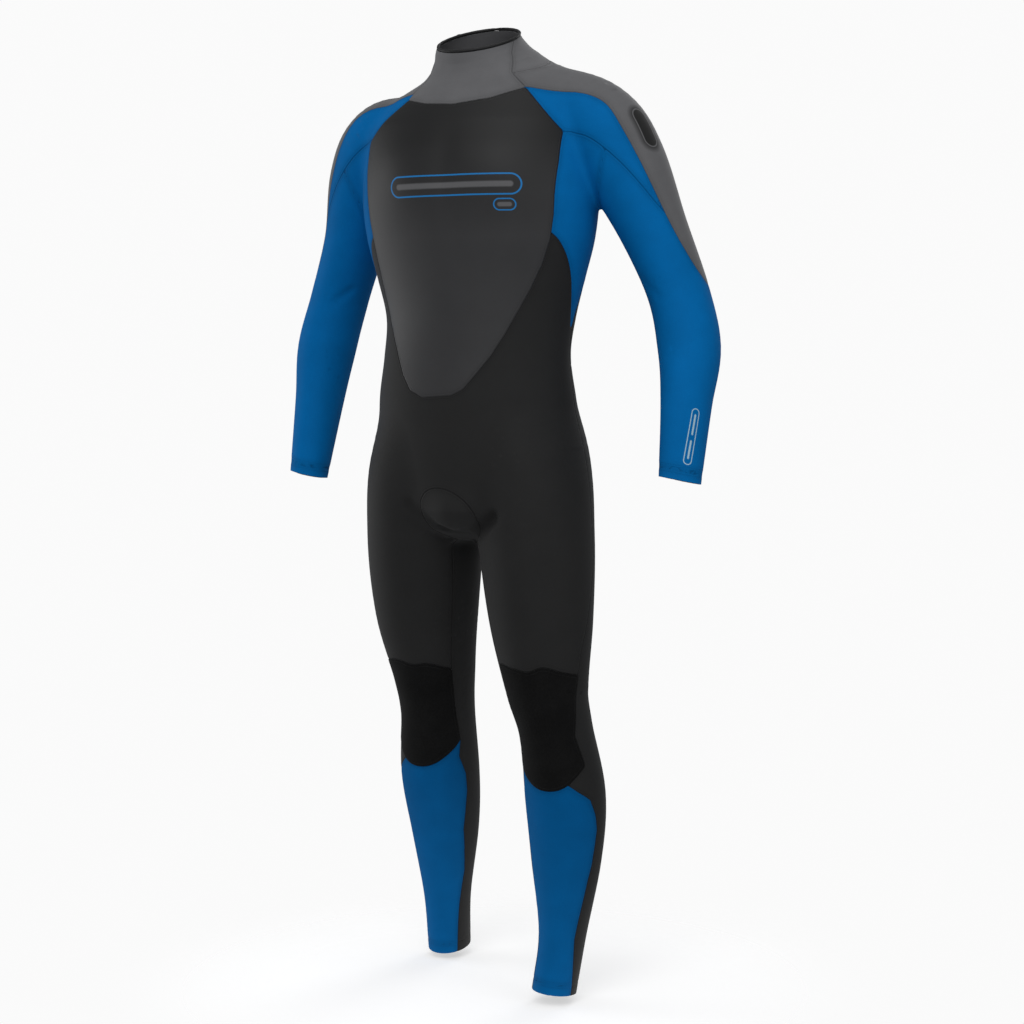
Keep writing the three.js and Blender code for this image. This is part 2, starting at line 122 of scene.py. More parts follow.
def aim(thing, place, target):
    """Stands a lamp or camera at a place, looking at a target."""
    back = unit(place - target)
    right = unit(np.cross(vec(0, 0, 1), back))
    up = np.cross(back, right)
    matrix = np.eye(4)
    matrix[:3, 0], matrix[:3, 1], matrix[:3, 2], matrix[:3, 3] = right, up, back, place
    thing.matrix_world = Matrix(matrix.tolist())


def make_camera():
    right, _, back = view_axes(AZIMUTH, ELEVATION)
    target = right * TARGET_RIGHT + vec(0, 0, HEM + TARGET_HEIGHT)
    data = bpy.data.cameras.new("camera")
    data.lens = FOCAL
    data.sensor_width = 36
    camera = add_object("camera", data)
    aim(camera, target + back * DISTANCE, target)
    bpy.context.scene.camera = camera


# name: place and target from the middle of the suit, the disk's size and its power
LAMPS = {
    "key": ((0.6, -2.6, 1.9), (0, 0, 0.35), 2.6, 44),
    "fill": ((3.0, -1.2, 0.5), (0, 0, 0), 2.4, 18),
    "side": ((-3.0, -0.2, 0.2), (0, 0, 0), 2.4, 28),
    "back_light": ((0.4, 3.2, 1.8), (0, 0, 0), 1.8, 20),
    "top": ((0, 0.2, 2.6), (0, 0, 0), 1.6, 8),
}
LAMP_MIDDLE = 0.8
SURROUND, SURROUND_POWER = (0.95, 0.97, 1.0, 1), 0.25  # what lights the suit
BACKDROP = (0.96, 0.96, 0.96, 1)  # what the camera sees
FLOOR_HALF = 1.2
FLOOR_DROP = 0.010
FLOOR_TONE, FLOOR_GLOW = 0.8, 0.50
FLOOR_FADE = (0.22, 0.62)  # the floor fades out between these distances


def make_lamps():
    middle = vec(0, 0, HEM + LAMP_MIDDLE)
    for name, (place, target, size, power) in LAMPS.items():
        data = bpy.data.lights.new(name, "AREA")
        data.shape = "DISK"
        data.size = size
        data.energy = power
        aim(add_object(name, data), middle + vec(*place), middle + vec(*target))


def make_world():
    world = bpy.data.worlds.new("studio")
    bpy.context.scene.world = world
    world.use_nodes = True
    graph = Graph(world)
    graph.nodes.clear()
    output = graph.add("ShaderNodeOutputWorld")
    surround = graph.add("ShaderNodeBackground")
    surround.inputs["Color"].default_value = SURROUND
    surround.inputs["Strength"].default_value = SURROUND_POWER
    backdrop = graph.add("ShaderNodeBackground")
    backdrop.inputs["Color"].default_value = BACKDROP
    seen = graph.add("ShaderNodeLightPath").outputs["Is Camera Ray"]
    graph.mix_shaders(seen, surround.outputs[0], backdrop.outputs[0], output)
    bpy.context.scene.view_settings.view_transform = "Standard"


def make_floor():
    mesh = bpy.data.meshes.new("floor")
    corners = [(-1, -1), (1, -1), (1, 1), (-1, 1)]
    mesh.from_pydata([(FLOOR_HALF * x, FLOOR_HALF * y, 0) for x, y in corners], [], [(0, 1, 2, 3)])
    floor = add_object("floor", mesh)
    floor.location = (0, 0.05, cad_box[0][2] - FLOOR_DROP)
    material, shader = new_material("floor", (FLOOR_TONE,) * 3, 0.9, 0.0)
    shader.inputs["Emission Color"].default_value = (1, 1, 1, 1)
    shader.inputs["Emission Strength"].default_value = FLOOR_GLOW
    graph = Graph(material)
    place = graph.add("ShaderNodeTexCoord").outputs["Object"]
    fade = graph.add("ShaderNodeMapRange", interpolation_type="SMOOTHSTEP")
    fade.inputs["From Min"].default_value, fade.inputs["From Max"].default_value = FLOOR_FADE
    graph.links.new(graph.vector("LENGTH", place).outputs["Value"], fade.inputs["Value"])
    clear = graph.add("ShaderNodeBsdfTransparent")
    graph.mix_shaders(fade.outputs["Result"], shader.outputs[0], clear.outputs[0],
                      graph.nodes["Material Output"])
    mesh.materials.append(material)


# ---------- the body the suit is cut for ----------
# Cross-sections of the outside of the suit: x, y, height above the hems, half width, half depth.
TORSO = vec(
    [0, 0.008, 0.677, 0.052, 0.050],
    [0, 0.009, 0.692, 0.108, 0.084],
    [0, 0.009, 0.720, 0.143, 0.102],
    [0, 0.009, 0.770, 0.156, 0.112],
    [-0.003, 0.009, 0.820, 0.159, 0.115],
    [-0.006, 0.003, 0.885, 0.155, 0.108],
    [-0.004, -0.002, 0.950, 0.147, 0.099],
    [0, 0.002, 1.005, 0.149, 0.102],
    [0, 0.003, 1.060, 0.163, 0.106],
    [0, 0.001, 1.120, 0.180, 0.111],
    [0, -0.001, 1.180, 0.187, 0.115],
    [0, -0.001, 1.240, 0.182, 0.113],
    [0, 0.005, 1.290, 0.174, 0.105],
    [0.010, 0.013, 1.330, 0.150, 0.093],
    [0.024, 0.016, 1.358, 0.117, 0.084],
    [0.005, 0.012, 1.386, 0.080, 0.069],
    [-0.003, 0.006, 1.404, 0.066, 0.063],
    [-0.003, 0.000, 1.425, 0.058, 0.060],
    [-0.003, -0.006, 1.450, 0.055, 0.058],
)
ARMS = {
    "l": vec(
        [0.098, 0.015, 1.334, 0.044, 0.048],
        [0.178, 0.015, 1.288, 0.062, 0.058],
        [0.223, 0.019, 1.226, 0.062, 0.060],
        [0.268, 0.025, 1.130, 0.049, 0.054],
        [0.304, 0.030, 1.040, 0.044, 0.050],
        [0.327, 0.015, 0.960, 0.045, 0.049],
        [0.336, -0.020, 0.880, 0.036, 0.042],
        [0.342, -0.060, 0.772, 0.030, 0.032],
    ),
    "r": vec(
        [-0.112, 0.015, 1.301, 0.042, 0.048],
        [-0.168, 0.018, 1.277, 0.056, 0.057],
        [-0.211, 0.038, 1.220, 0.056, 0.060],
        [-0.244, 0.060, 1.130, 0.046, 0.054],
        [-0.281, 0.074, 1.040, 0.043, 0.050],
        [-0.298, 0.062, 0.960, 0.044, 0.049],
        [-0.299, 0.040, 0.880, 0.036, 0.042],
        [-0.292, -0.006, 0.767, 0.028, 0.032],
    ),
}
LEGS = {
    "l": vec(
        [0.062, 0.004, 0.905, 0.050, 0.062],
        [0.084, 0.003, 0.800, 0.081, 0.097],
        [0.097, -0.008, 0.680, 0.085, 0.092],
        [0.108, -0.015, 0.560, 0.077, 0.078],
        [0.120, -0.020, 0.460, 0.061, 0.064],
        [0.134, -0.020, 0.400, 0.053, 0.060],
        [0.142, -0.005, 0.300, 0.059, 0.062],
        [0.142, 0.000, 0.200, 0.052, 0.052],
        [0.138, -0.004, 0.090, 0.035, 0.040],
        [0.128, -0.012, 0.005, 0.032, 0.041],
    ),
    "r": vec(
        [-0.062, 0.004, 0.905, 0.050, 0.062],
        [-0.089, 0.008, 0.800, 0.083, 0.097],
        [-0.102, 0.020, 0.680, 0.088, 0.092],
        [-0.110, 0.040, 0.560, 0.080, 0.078],
        [-0.107, 0.060, 0.460, 0.063, 0.064],
        [-0.109, 0.075, 0.400, 0.057, 0.060],
        [-0.121, 0.105, 0.300, 0.061, 0.062],
        [-0.125, 0.130, 0.200, 0.053, 0.052],
        [-0.131, 0.150, 0.090, 0.037, 0.040],
        [-0.135, 0.165, 0.005, 0.032, 0.041],
    ),
}
COLLAR_LEAN = 0.40
COLLAR_TOP = 1.412
LEAN_START = 1.340
LIMB_REACH = 0.130  # no limb's surface is further from its line
OVERRUN = 0.035  # limbs run on this far before they are trimmed
BATCH = 40000  # points worked on at a time


def spline(rows, t):
    """The smooth curve through the rows of a table, at positions t counted in rows."""
    last = len(rows) - 1
    t = np.clip(t, 0, last - 1e-9)
    i = t.astype(int)
    f = (t - i)[:, None]
    padded = np.vstack([2 * rows[:1] - rows[1:2], rows, 2 * rows[-1:] - rows[-2:-1]])
    a, b, c, d = padded[i], padded[i + 1], padded[i + 2], padded[i + 3]
    square, cube = 2 * a - 5 * b + 4 * c - d, 3 * b - a - 3 * c + d
    return 0.5 * (2 * b + (c - a) * f + square * f ** 2 + cube * f ** 3)


def run_of(rows, per=8):
    """A limb's sections, close together, running on past its cut end."""
    run = spline(rows, np.linspace(0, len(rows) - 1, (len(rows) - 1) * per + 1))
    extra = run[-1].copy()
    extra[:3] += unit(run[-1, :3] - run[-2, :3]) * OVERRUN
    return np.vstack([run, extra])


def oval_distance(u, v, a, b):
    near = np.sqrt((u / a) ** 2 + (v / b) ** 2) + 1e-9
    slope = np.sqrt((u / a ** 2) ** 2 + (v / b ** 2) ** 2) + 1e-12
    return near * (near - 1) / slope


def limb_distance(points, run):
    """Distance from the surface of a tube of oval sections, negative inside."""
    centres = run[:, :3]
    steps = centres[1:] - centres[:-1]
    lengths = np.linalg.norm(steps, axis=1)
    along = steps / lengths[:, None]
    across = unit_rows(np.cross(vec(0, 1, 0), along))
    deep = np.cross(along, across)
    result = np.empty(len(points))
    for start in range(0, len(points), BATCH):
        part = points[start:start + BATCH]
        gaps = part[:, None, :] - centres[None, :, :]
        nearest = np.argmin(np.einsum("ijk,ijk->ij", gaps, gaps), axis=1)
        best = np.full(len(part), 1e9)
        value = np.full(len(part), 1e9)
        for shift in (-1, 0):
            k = np.clip(nearest + shift, 0, len(steps) - 1)
            gap = part - centres[k]
            raw = dots(gap, along[k]) / lengths[k]
            t = np.clip(raw, 0, 1)
            over = np.abs(raw - t) * lengths[k]
            gap = gap - steps[k] * t[:, None]
            size = run[k, 3:] * (1 - t)[:, None] + run[k + 1, 3:] * t[:, None]
            oval = oval_distance(dots(gap, across[k]), dots(gap, deep[k]), size[:, 0], size[:, 1])
            distance = dots(gap, gap)
            end = (over > 1e-6) & (((k == 0) & (raw < 0)) | ((k == len(steps) - 1) & (raw > 1)))
            oval = np.where(end, np.maximum(oval, over), oval)
            closer = distance < best
            value = np.where(closer, oval, value)
            best = np.where(closer, distance, best)
        result[start:start + BATCH] = value
    return result


def level_of(points):
    """The height of the torso section a point belongs to: the collar's sections lean."""
    height = points[:, 2]
    level = height.copy()
    for _ in range(5):
        level = height - COLLAR_LEAN * smoothstep(LEAN_START, COLLAR_TOP, level) * points[:, 1]
    return level


def torso_distance(points):
    level = level_of(points)
    heights = TORSO[:, 2]
    rows = spline(TORSO, np.interp(level, heights, np.arange(len(heights))))
    oval = oval_distance(points[:, 0] - rows[:, 0], points[:, 1] - rows[:, 1], rows[:, 3], rows[:, 4])
    return np.maximum(oval, np.maximum(heights[0] - level, level - heights[-1]))


def merge(a, b, reach):
    """Two bodies joined with a fillet."""
    h = np.clip(0.5 + 0.5 * (b - a) / reach, 0, 1)
    return b * (1 - h) + a * h - reach * h * (1 - h)


def centre_at(rows, height):
    return vec(*look_up(rows, 2, height, (0, 1, 2)))


def swellings():
    """Soft swellings and hollows: centre, reach on each axis, height."""
    listed = [
        (vec(0, -0.112, 1.20), vec(0.020, 0.05, 0.07), -0.0025),
        (vec(0, -0.100, 1.02), vec(0.060, 0.05, 0.085), 0.0030),
        (vec(-0.002, -0.100, 0.712), vec(0.036, 0.05, 0.034), 0.0150),
        (vec(0, 0.125, 0.775), vec(0.016, 0.06, 0.060), -0.0080),
        (vec(0, 0.118, 0.96), vec(0.05, 0.05, 0.05), -0.0010),
    ]
    for side in (1, -1):
        listed += [
            (vec(side * 0.075, -0.108, 1.215), vec(0.055, 0.05, 0.045), 0.0050),
            (vec(side * 0.080, 0.118, 0.800), vec(0.055, 0.05, 0.060), 0.0120),
            (vec(side * 0.085, 0.100, 1.220), vec(0.045, 0.05, 0.065), 0.0040),
            (vec(side * 0.052, 0.100, 1.02), vec(0.028, 0.05, 0.10), 0.0035),
        ]
    for letter, side in SIDES.items():
        leg, arm = LEGS[letter], ARMS[letter]
        listed += [
            (centre_at(leg, 0.275) + vec(0, 0.058, 0), vec(0.050, 0.04, 0.070), 0.0070),
            (centre_at(leg, 0.420) + vec(0, -0.060, 0), vec(0.034, 0.04, 0.040), 0.0050),
            (centre_at(leg, 0.600) + vec(0, -0.080, 0), vec(0.045, 0.05, 0.090), 0.0040),
            (centre_at(leg, 0.420) + vec(0, 0.058, 0), vec(0.035, 0.04, 0.040), -0.0030),
            (centre_at(arm, 1.030) + vec(0, 0.050, 0), vec(0.030, 0.03, 0.035), 0.0040),
            (centre_at(arm, 1.255) + vec(0.03 * side, -0.01, 0.01), vec(0.035, 0.05, 0.045), 0.0030),
        ]
    return listed


# Folds: two ends, half width, depth.
CREASES = [
    (vec(0.186, -0.062, 1.236), vec(0.190, -0.052, 1.203), 0.006, 0.0035),
    (vec(0.190, -0.052, 1.197), vec(0.206, -0.036, 1.155), 0.006, 0.0035),
    (vec(-0.168, -0.066, 1.225), vec(-0.184, -0.040, 1.150), 0.006, 0.0030),
    (vec(0.066, -0.093, 0.714), vec(0.034, -0.082, 0.688), 0.009, 0.0100),
    (vec(-0.074, -0.094, 0.728), vec(-0.046, -0.092, 0.702), 0.009, 0.0100),
    (vec(-0.046, -0.092, 0.702), vec(-0.020, -0.082, 0.690), 0.008, 0.0090),
    (vec(-0.020, -0.082, 0.690), vec(0.016, -0.078, 0.683), 0.008, 0.0090),
    (vec(0.262, -0.012, 1.052), vec(0.288, -0.022, 1.034), 0.007, 0.0025),
    (vec(-0.240, 0.040, 1.052), vec(-0.262, 0.026, 1.034), 0.007, 0.0025),
    (vec(0.100, 0.040, 0.428), vec(0.150, 0.040, 0.432), 0.008, 0.0030),
    (vec(-0.135, 0.132, 0.428), vec(-0.085, 0.132, 0.432), 0.008, 0.0030),
]
RUNS = [(run_of(ARMS[k]), 0.014) for k in SIDES] + [(run_of(LEGS[k]), 0.016) for k in SIDES]
SWELLINGS = swellings()


def body_distance(points):
    """Distance from the suit's outside; points here have their height measured from the hems."""
    value = torso_distance(points)
    for run, fillet in RUNS:
        low = run[:, :3].min(axis=0) - LIMB_REACH
        high = run[:, :3].max(axis=0) + LIMB_REACH
        near = ((points > low) & (points < high)).all(axis=1)
        if near.any():
            value[near] = merge(value[near], limb_distance(points[near], run), fillet)
    for centre, reach, height in SWELLINGS:
        near = (np.abs(points - centre) < 3 * reach).all(axis=1)
        if near.any():
            gap = (points[near] - centre) / reach
            value[near] -= height * np.exp(-dots(gap, gap))
    for start, end, width, depth in CREASES:
        low = np.minimum(start, end) - 3 * width
        high = np.maximum(start, end) + 3 * width
        near = ((points > low) & (points < high)).all(axis=1)
        if near.any():
            step = end - start
            t = np.clip((points[near] - start) @ step / (step @ step), 0, 1)
            away = points[near] - start - t[:, None] * step
            value[near] += depth * np.exp(-dots(away, away) / width ** 2)
    return value


def gradient(function, points, step=0.0004):
    base = function(points)
    slopes = np.stack([(function(points + step * axis) - base) / step for axis in np.eye(3)], axis=1)
    return base, slopes


LONGEST_MOVE = 0.004  # a point moves no further in one round
FIELD_REACH = 0.012  # the distance is exact only this near the surface
COARSE = 4  # fine cells along a coarse one


def onto_body(points, rounds):
    for _ in range(rounds):
        base, slopes = gradient(body_distance, points)
        move = np.clip(base / (dots(slopes, slopes) + 1e-9), -LONGEST_MOVE, LONGEST_MOVE)
        points = points - slopes * move[:, None]
    return points


def body_surface():
    """A fine closed mesh of the body: one point in each grid cell that the surface crosses."""
    low = vec(*cad_box[0]) - vec(0.025, 0.025, HEM + 0.06)
    high = vec(*cad_box[1]) - vec(-0.025, -0.025, HEM - 0.02)
    blocks = np.ceil((high - low) / (GRID * COARSE)).astype(int)
    axes = [low[i] + GRID * COARSE * np.arange(blocks[i] + 1) for i in range(3)]
    rough = body_distance(np.stack(np.meshgrid(*axes, indexing="ij"), axis=-1).reshape(-1, 3))
    rough = rough.reshape(blocks + 1)
    for axis in range(3):
        first = np.take(rough, np.arange(rough.shape[axis] - 1), axis=axis)
        second = np.take(rough, np.arange(1, rough.shape[axis]), axis=axis)
        finer = np.stack([first + (second - first) * k / COARSE for k in range(COARSE)], axis=axis + 1)
        shape = list(first.shape)
        shape[axis] *= COARSE
        rough = finer.reshape(shape)
    near = np.argwhere(np.abs(rough) < FIELD_REACH)
    field = rough
    field[tuple(near.T)] = body_distance(low + GRID * near)
    inside = field < 0

    cells = tuple(n - 1 for n in field.shape)
    corners = [(i, j, k) for i in (0, 1) for j in (0, 1) for k in (0, 1)]
    filled = np.zeros(cells, np.int8)
    for corner in corners:
        filled += inside[tuple(slice(c, c + n) for c, n in zip(corner, cells))]
    used = np.argwhere((filled > 0) & (filled < 8))
    index = np.full(cells, -1)
    index[tuple(used.T)] = np.arange(len(used))
    total = np.zeros((len(used), 3))
    crossings = np.zeros(len(used))
    for corner in corners:
        for axis in range(3):
            if corner[axis] == 1:
                continue
            a = used + corner
            b = a.copy()
            b[:, axis] += 1
            value_a, value_b = field[tuple(a.T)], field[tuple(b.T)]
            cross = (value_a < 0) != (value_b < 0)
            spot = np.tile(vec(*corner), (len(used), 1))
            spot[:, axis] += np.where(cross, value_a / np.where(cross, value_a - value_b, 1), 0)
            total += spot * cross[:, None]
            crossings += cross
    points = low + GRID * (used + total / crossings[:, None])

    faces = []
    for axis in range(3):
        u, v = (axis + 1) % 3, (axis + 2) % 3
        step = [0, 0, 0]
        step[axis] = 1
        here = inside[tuple(slice(0, n - s) for n, s in zip(field.shape, step))]
        there = inside[tuple(slice(s, None) for s in step)]
        where = np.argwhere(here != there)
        outward = here[tuple(where.T)]
        ring = []
        for du, dv in ((-1, -1), (0, -1), (0, 0), (-1, 0)):
            cell = where.copy()
            cell[:, u] += du
            cell[:, v] += dv
            ring.append(index[tuple(cell.T)])
        quad = np.stack(ring, axis=1)
        faces.append(np.where(outward[:, None], quad, quad[:, ::-1]))
    return points, np.concatenate(faces)


def relax(points, quads, rounds):
    """Evens out the faces and puts the points back on the body."""
    ends = np.concatenate([quads[:, [i, (i + 1) % 4]] for i in range(4)])
    for _ in range(rounds):
        total = np.zeros_like(points)
        np.add.at(total, ends[:, 0], points[ends[:, 1]])
        np.add.at(total, ends[:, 1], points[ends[:, 0]])
        count = np.bincount(ends.ravel(), minlength=len(points))
        points = 0.4 * points + 0.6 * total / count[:, None]
        points = onto_body(points, 1)
    return onto_body(points, 2)


# ---------- seam lines ----------
def smooth_line(points, per=10):
    """A smooth curve through the points."""
    rows = vec(*points)
    return spline(rows, np.linspace(0, len(rows) - 1, (len(rows) - 1) * per + 1))


def in_outline(u, v, line):
    """Distance from a closed outline, negative inside it."""
    spots = np.stack([u, v], axis=1)
    result = np.empty(len(spots))
    ends = np.roll(line, -1, axis=0)
    step = ends - line
    size = np.einsum("ij,ij->i", step, step) + 1e-15
    for start in range(0, len(spots), BATCH // 2):
        part = spots[start:start + BATCH // 2]
        gap = part[:, None, :] - line[None]
        t = np.clip(np.einsum("ijk,jk->ij", gap, step) / size, 0, 1)
        away = gap - t[..., None] * step
        near = np.sqrt(np.einsum("ijk,ijk->ij", away, away).min(axis=1))
        crosses = (line[None, :, 1] > part[:, None, 1]) != (ends[None, :, 1] > part[:, None, 1])
        rise = np.where(np.abs(step[:, 1]) < 1e-12, 1e-12, step[:, 1])
        where = line[:, 0] + (part[:, None, 1] - line[:, 1]) / rise * step[:, 0]
        odd = (crosses & (part[:, None, 0] < where)).sum(axis=1) % 2 == 1
        result[start:start + BATCH // 2] = np.where(odd, -near, near)
    return result


CHEST_LEFT = [(0.102, 1.334), (0.130, 1.302), (0.157, 1.270), (0.156, 1.225), (0.153, 1.190), (0.150, 1.150),
              (0.144, 1.115), (0.131, 1.078), (0.114, 1.042), (0.097, 1.010), (0.080, 0.978), (0.062, 0.948),
              (0.040, 0.920), (0.022, 0.899), (0.004, 0.890)]
CHEST_RIGHT = [(-0.044, 0.887), (-0.068, 0.898), (-0.084, 0.922), (-0.101, 0.962), (-0.118, 1.000),
               (-0.130, 1.042), (-0.137, 1.078), (-0.143, 1.115), (-0.149, 1.150), (-0.153, 1.190),
               (-0.156, 1.225), (-0.155, 1.266), (-0.124, 1.296), (-0.086, 1.3245)]
CHEST_TOP = [(-0.050, 1.316), (0.000, 1.312), (0.055, 1.319)]
CHEST = vec(*(CHEST_LEFT + CHEST_RIGHT + CHEST_TOP))
THROAT = vec((0.054, 1.480), (0.056, 1.420), (0.062, 1.390), (0.078, 1.358), (0.102, 1.334),
             *(CHEST_TOP[::-1]),
             (-0.086, 1.3245), (-0.072, 1.350), (-0.062, 1.390), (-0.056, 1.420), (-0.054, 1.480))
GREY_EDGE = smooth_line([(0, 1.330), (0.084, 1.331), (0.112, 1.332), (0.150, 1.333), (0.188, 1.329),
                         (0.217, 1.314), (0.242, 1.278), (0.271, 1.226), (0.305, 1.156), (0.329, 1.113),
                         (0.352, 1.078)])
RAGLAN = smooth_line([(0.100, 1.258), (0.157, 1.269), (0.172, 1.268), (0.195, 1.260), (0.220, 1.243),
                      (0.245, 1.221), (0.267, 1.197), (0.292, 1.166), (0.317, 1.135), (0.360, 1.080)])
SIDE_LINE = smooth_line([(-0.078, 1.150), (-0.074, 1.134), (-0.054, 1.112), (-0.027, 1.070), (-0.008, 1.025),
                         (0.005, 0.990), (0.020, 1.025), (0.038, 1.060), (0.066, 1.110), (0.088, 1.170),
                         (0.094, 1.200)])
SIDE = np.vstack([[(-0.4, 1.150)], SIDE_LINE, [(0.094, 1.400), (-0.4, 1.400)]])
# how each sleeve edge's outline closes above the shoulder
GREY_REST = [(0.6, 1.05), (0.6, 1.7), (0, 1.7)]
RAGLAN_REST = [(0.6, 1.06), (0.6, 1.7), (0, 1.7), (0, 1.250)]
GREY_SLOPE = 0.4
GREY_DEPTH = -0.050
RIGHT_REACH = 0.93
ARMHOLE = vec(0.185, 0, 1.240)
ARMHOLE_NORMAL = vec(1, 0, 0.065)
GROIN = vec(0.045, 0, 0.700)
MID_THIGH = 0.505
ARM_BEND = {"l": (1.087, 0.990), "r": (1.042, 0.966)}
# How far the seam down the leg stands behind the leg's centre line, at heights going down.
OUTER_SEAM = vec((0.86, 0.007), (0.80, 0.007), (0.65, 0.015), (0.585, 0.000), (0.52, -0.018), (0.46, -0.022),
                 (0.40, -0.036), (0.365, -0.037), (0.345, -0.046), (0.328, -0.056), (0.314, -0.044),
                 (0.300, -0.028), (0.275, -0.017), (0.253, -0.013), (0.179, -0.020), (0.088, -0.022),
                 (0.014, -0.010), (-0.05, -0.008))
INNER_SEAM = vec((0.86, -0.05), (0.668, -0.055), (0.582, -0.048), (0.495, -0.044), (0.42, -0.038),
                 (0.356, -0.030), (0.33, -0.034), (0.30, -0.024), (0.273, -0.022), (0.207, -0.028),
                 (0.137, -0.018), (0.010, -0.024), (-0.05, -0.024))
# The knee pad: its top edge, its rounded foot and its outer side. Across from the leg's line, height.
PAD_TOPS = {
    "l": smooth_line([(-0.085, 0.480), (-0.052, 0.497), (-0.025, 0.494), (0.002, 0.490), (0.025, 0.497),
                      (0.048, 0.489), (0.085, 0.474)]),
    "r": smooth_line([(-0.085, 0.462), (-0.050, 0.474), (-0.025, 0.482), (0.000, 0.480), (0.025, 0.486),
                      (0.050, 0.484), (0.085, 0.474)]),
}
PAD_FOOT = smooth_line([(-0.085, 0.430), (-0.060, 0.378), (-0.046, 0.344), (-0.024, 0.322), (0.0, 0.315),
                        (0.026, 0.321), (0.048, 0.345), (0.060, 0.378), (0.085, 0.430)])
PAD_SIDE = vec((0.52, -0.016), (0.46, -0.022), (0.42, -0.030), (0.395, -0.034), (0.36, -0.028),
               (0.30, -0.022))
SIDE_SEAM = 0.010
SLEEVE_SEAM = (0.219, 0.31, 1.243)  # how far out at a height, and its lean
SIDE_PATCH = (0.160, 1.112)  # the side panel takes in all beyond and above this
RAGLAN_LEAN = 0.15
RAGLAN_FROM = 0.02  # the blue strip starts this far from the middle
RAGLAN_BACK = (0.06, 0.128)  # behind this depth, it starts this far out
SHIN_TOP = 0.40
CUFF_STITCHES = (0.0125, 0.016)  # distances up from the wrist
HEM_STITCH = 0.016
SHARE_HALF = 0.35  # the two leg seams swap over this much of the leg
WRIST_CUT = {"l": (-0.16, -0.12, -1), "r": (-0.20, -0.08, -1)}
SEAT_TOP = 0.936
NECK_SEAM = (1.373, 0.30)
ZIP_SLOT = (0.0166, 0.942, 1.356)
GUSSET = (-0.008, 0.713, 0.050, 0.038)  # centre, half length, half width
GUSSET_TURN = math.radians(-32)


def table_at(table, value):
    return look_up(table, 0, value, (1,))[0]


def sleeve_value(edge, side, lean, rest):
    """Negative above an edge along the sleeve that leans back round the arm."""
    reach = 1 if side > 0 else RIGHT_REACH
    line = np.vstack([edge * [reach * side, 1], [(side * x, z) for x, z in rest]])
    return lambda p: in_outline(p[:, 0], p[:, 2] - lean * (GREY_DEPTH - p[:, 1]), line)


def leg_seam(letter, p, outer):
    """How far out points are from a leg's line, and where its side seams stand."""
    x, y, half = look_up(LEGS[letter], 2, p[:, 2], (0, 1, 3))
    out = (p[:, 0] - x) * SIDES[letter]
    share = smoothstep(-SHARE_HALF, SHARE_HALF, out / half)
    back = table_at(INNER_SEAM, p[:, 2]) * (1 - share) + table_at(outer, p[:, 2]) * share
    return out, y, back


def leg_seam_value(p):
    """Negative in front of the seams down the sides of the body and legs."""
    side = np.where(p[:, 0] >= 0, 1, -1)
    seam = np.zeros(len(p))
    for letter, sign in SIDES.items():
        _, y, back = leg_seam(letter, p, OUTER_SEAM)
        seam = np.where(side == sign, y + back, seam)
    upper = smoothstep(0.78, 0.84, p[:, 2])
    return p[:, 1] - (seam * (1 - upper) + SIDE_SEAM * upper)


def pad_value(letter):
    """Negative inside the knee pad."""
    def value(p):
        out, y, back = leg_seam(letter, p, PAD_SIDE)
        top = p[:, 2] - table_at(PAD_TOPS[letter], out)
        foot = table_at(PAD_FOOT, out) - p[:, 2]
        return np.maximum(np.maximum(top, foot), p[:, 1] - y - back)
    return value


def end_plane(rows):
    return rows[-1, :3], unit(rows[-1, :3] - rows[-2, :3])


def wrist_plane(letter):
    """The cuffs are cut longer on the outside of the arm."""
    return ARMS[letter][-1, :3], unit(vec(*WRIST_CUT[letter]))


def plane_value(point, normal):
    return lambda p: (p - point) @ unit(np.array(normal, float))


# ---------- cutting the surface into panels ----------
SEAM_REACH = 0.03  # distances to a seam are true only this near it
SNAP = 0.00025  # points nearer to a cut than this move onto it
PROBE = 0.0005


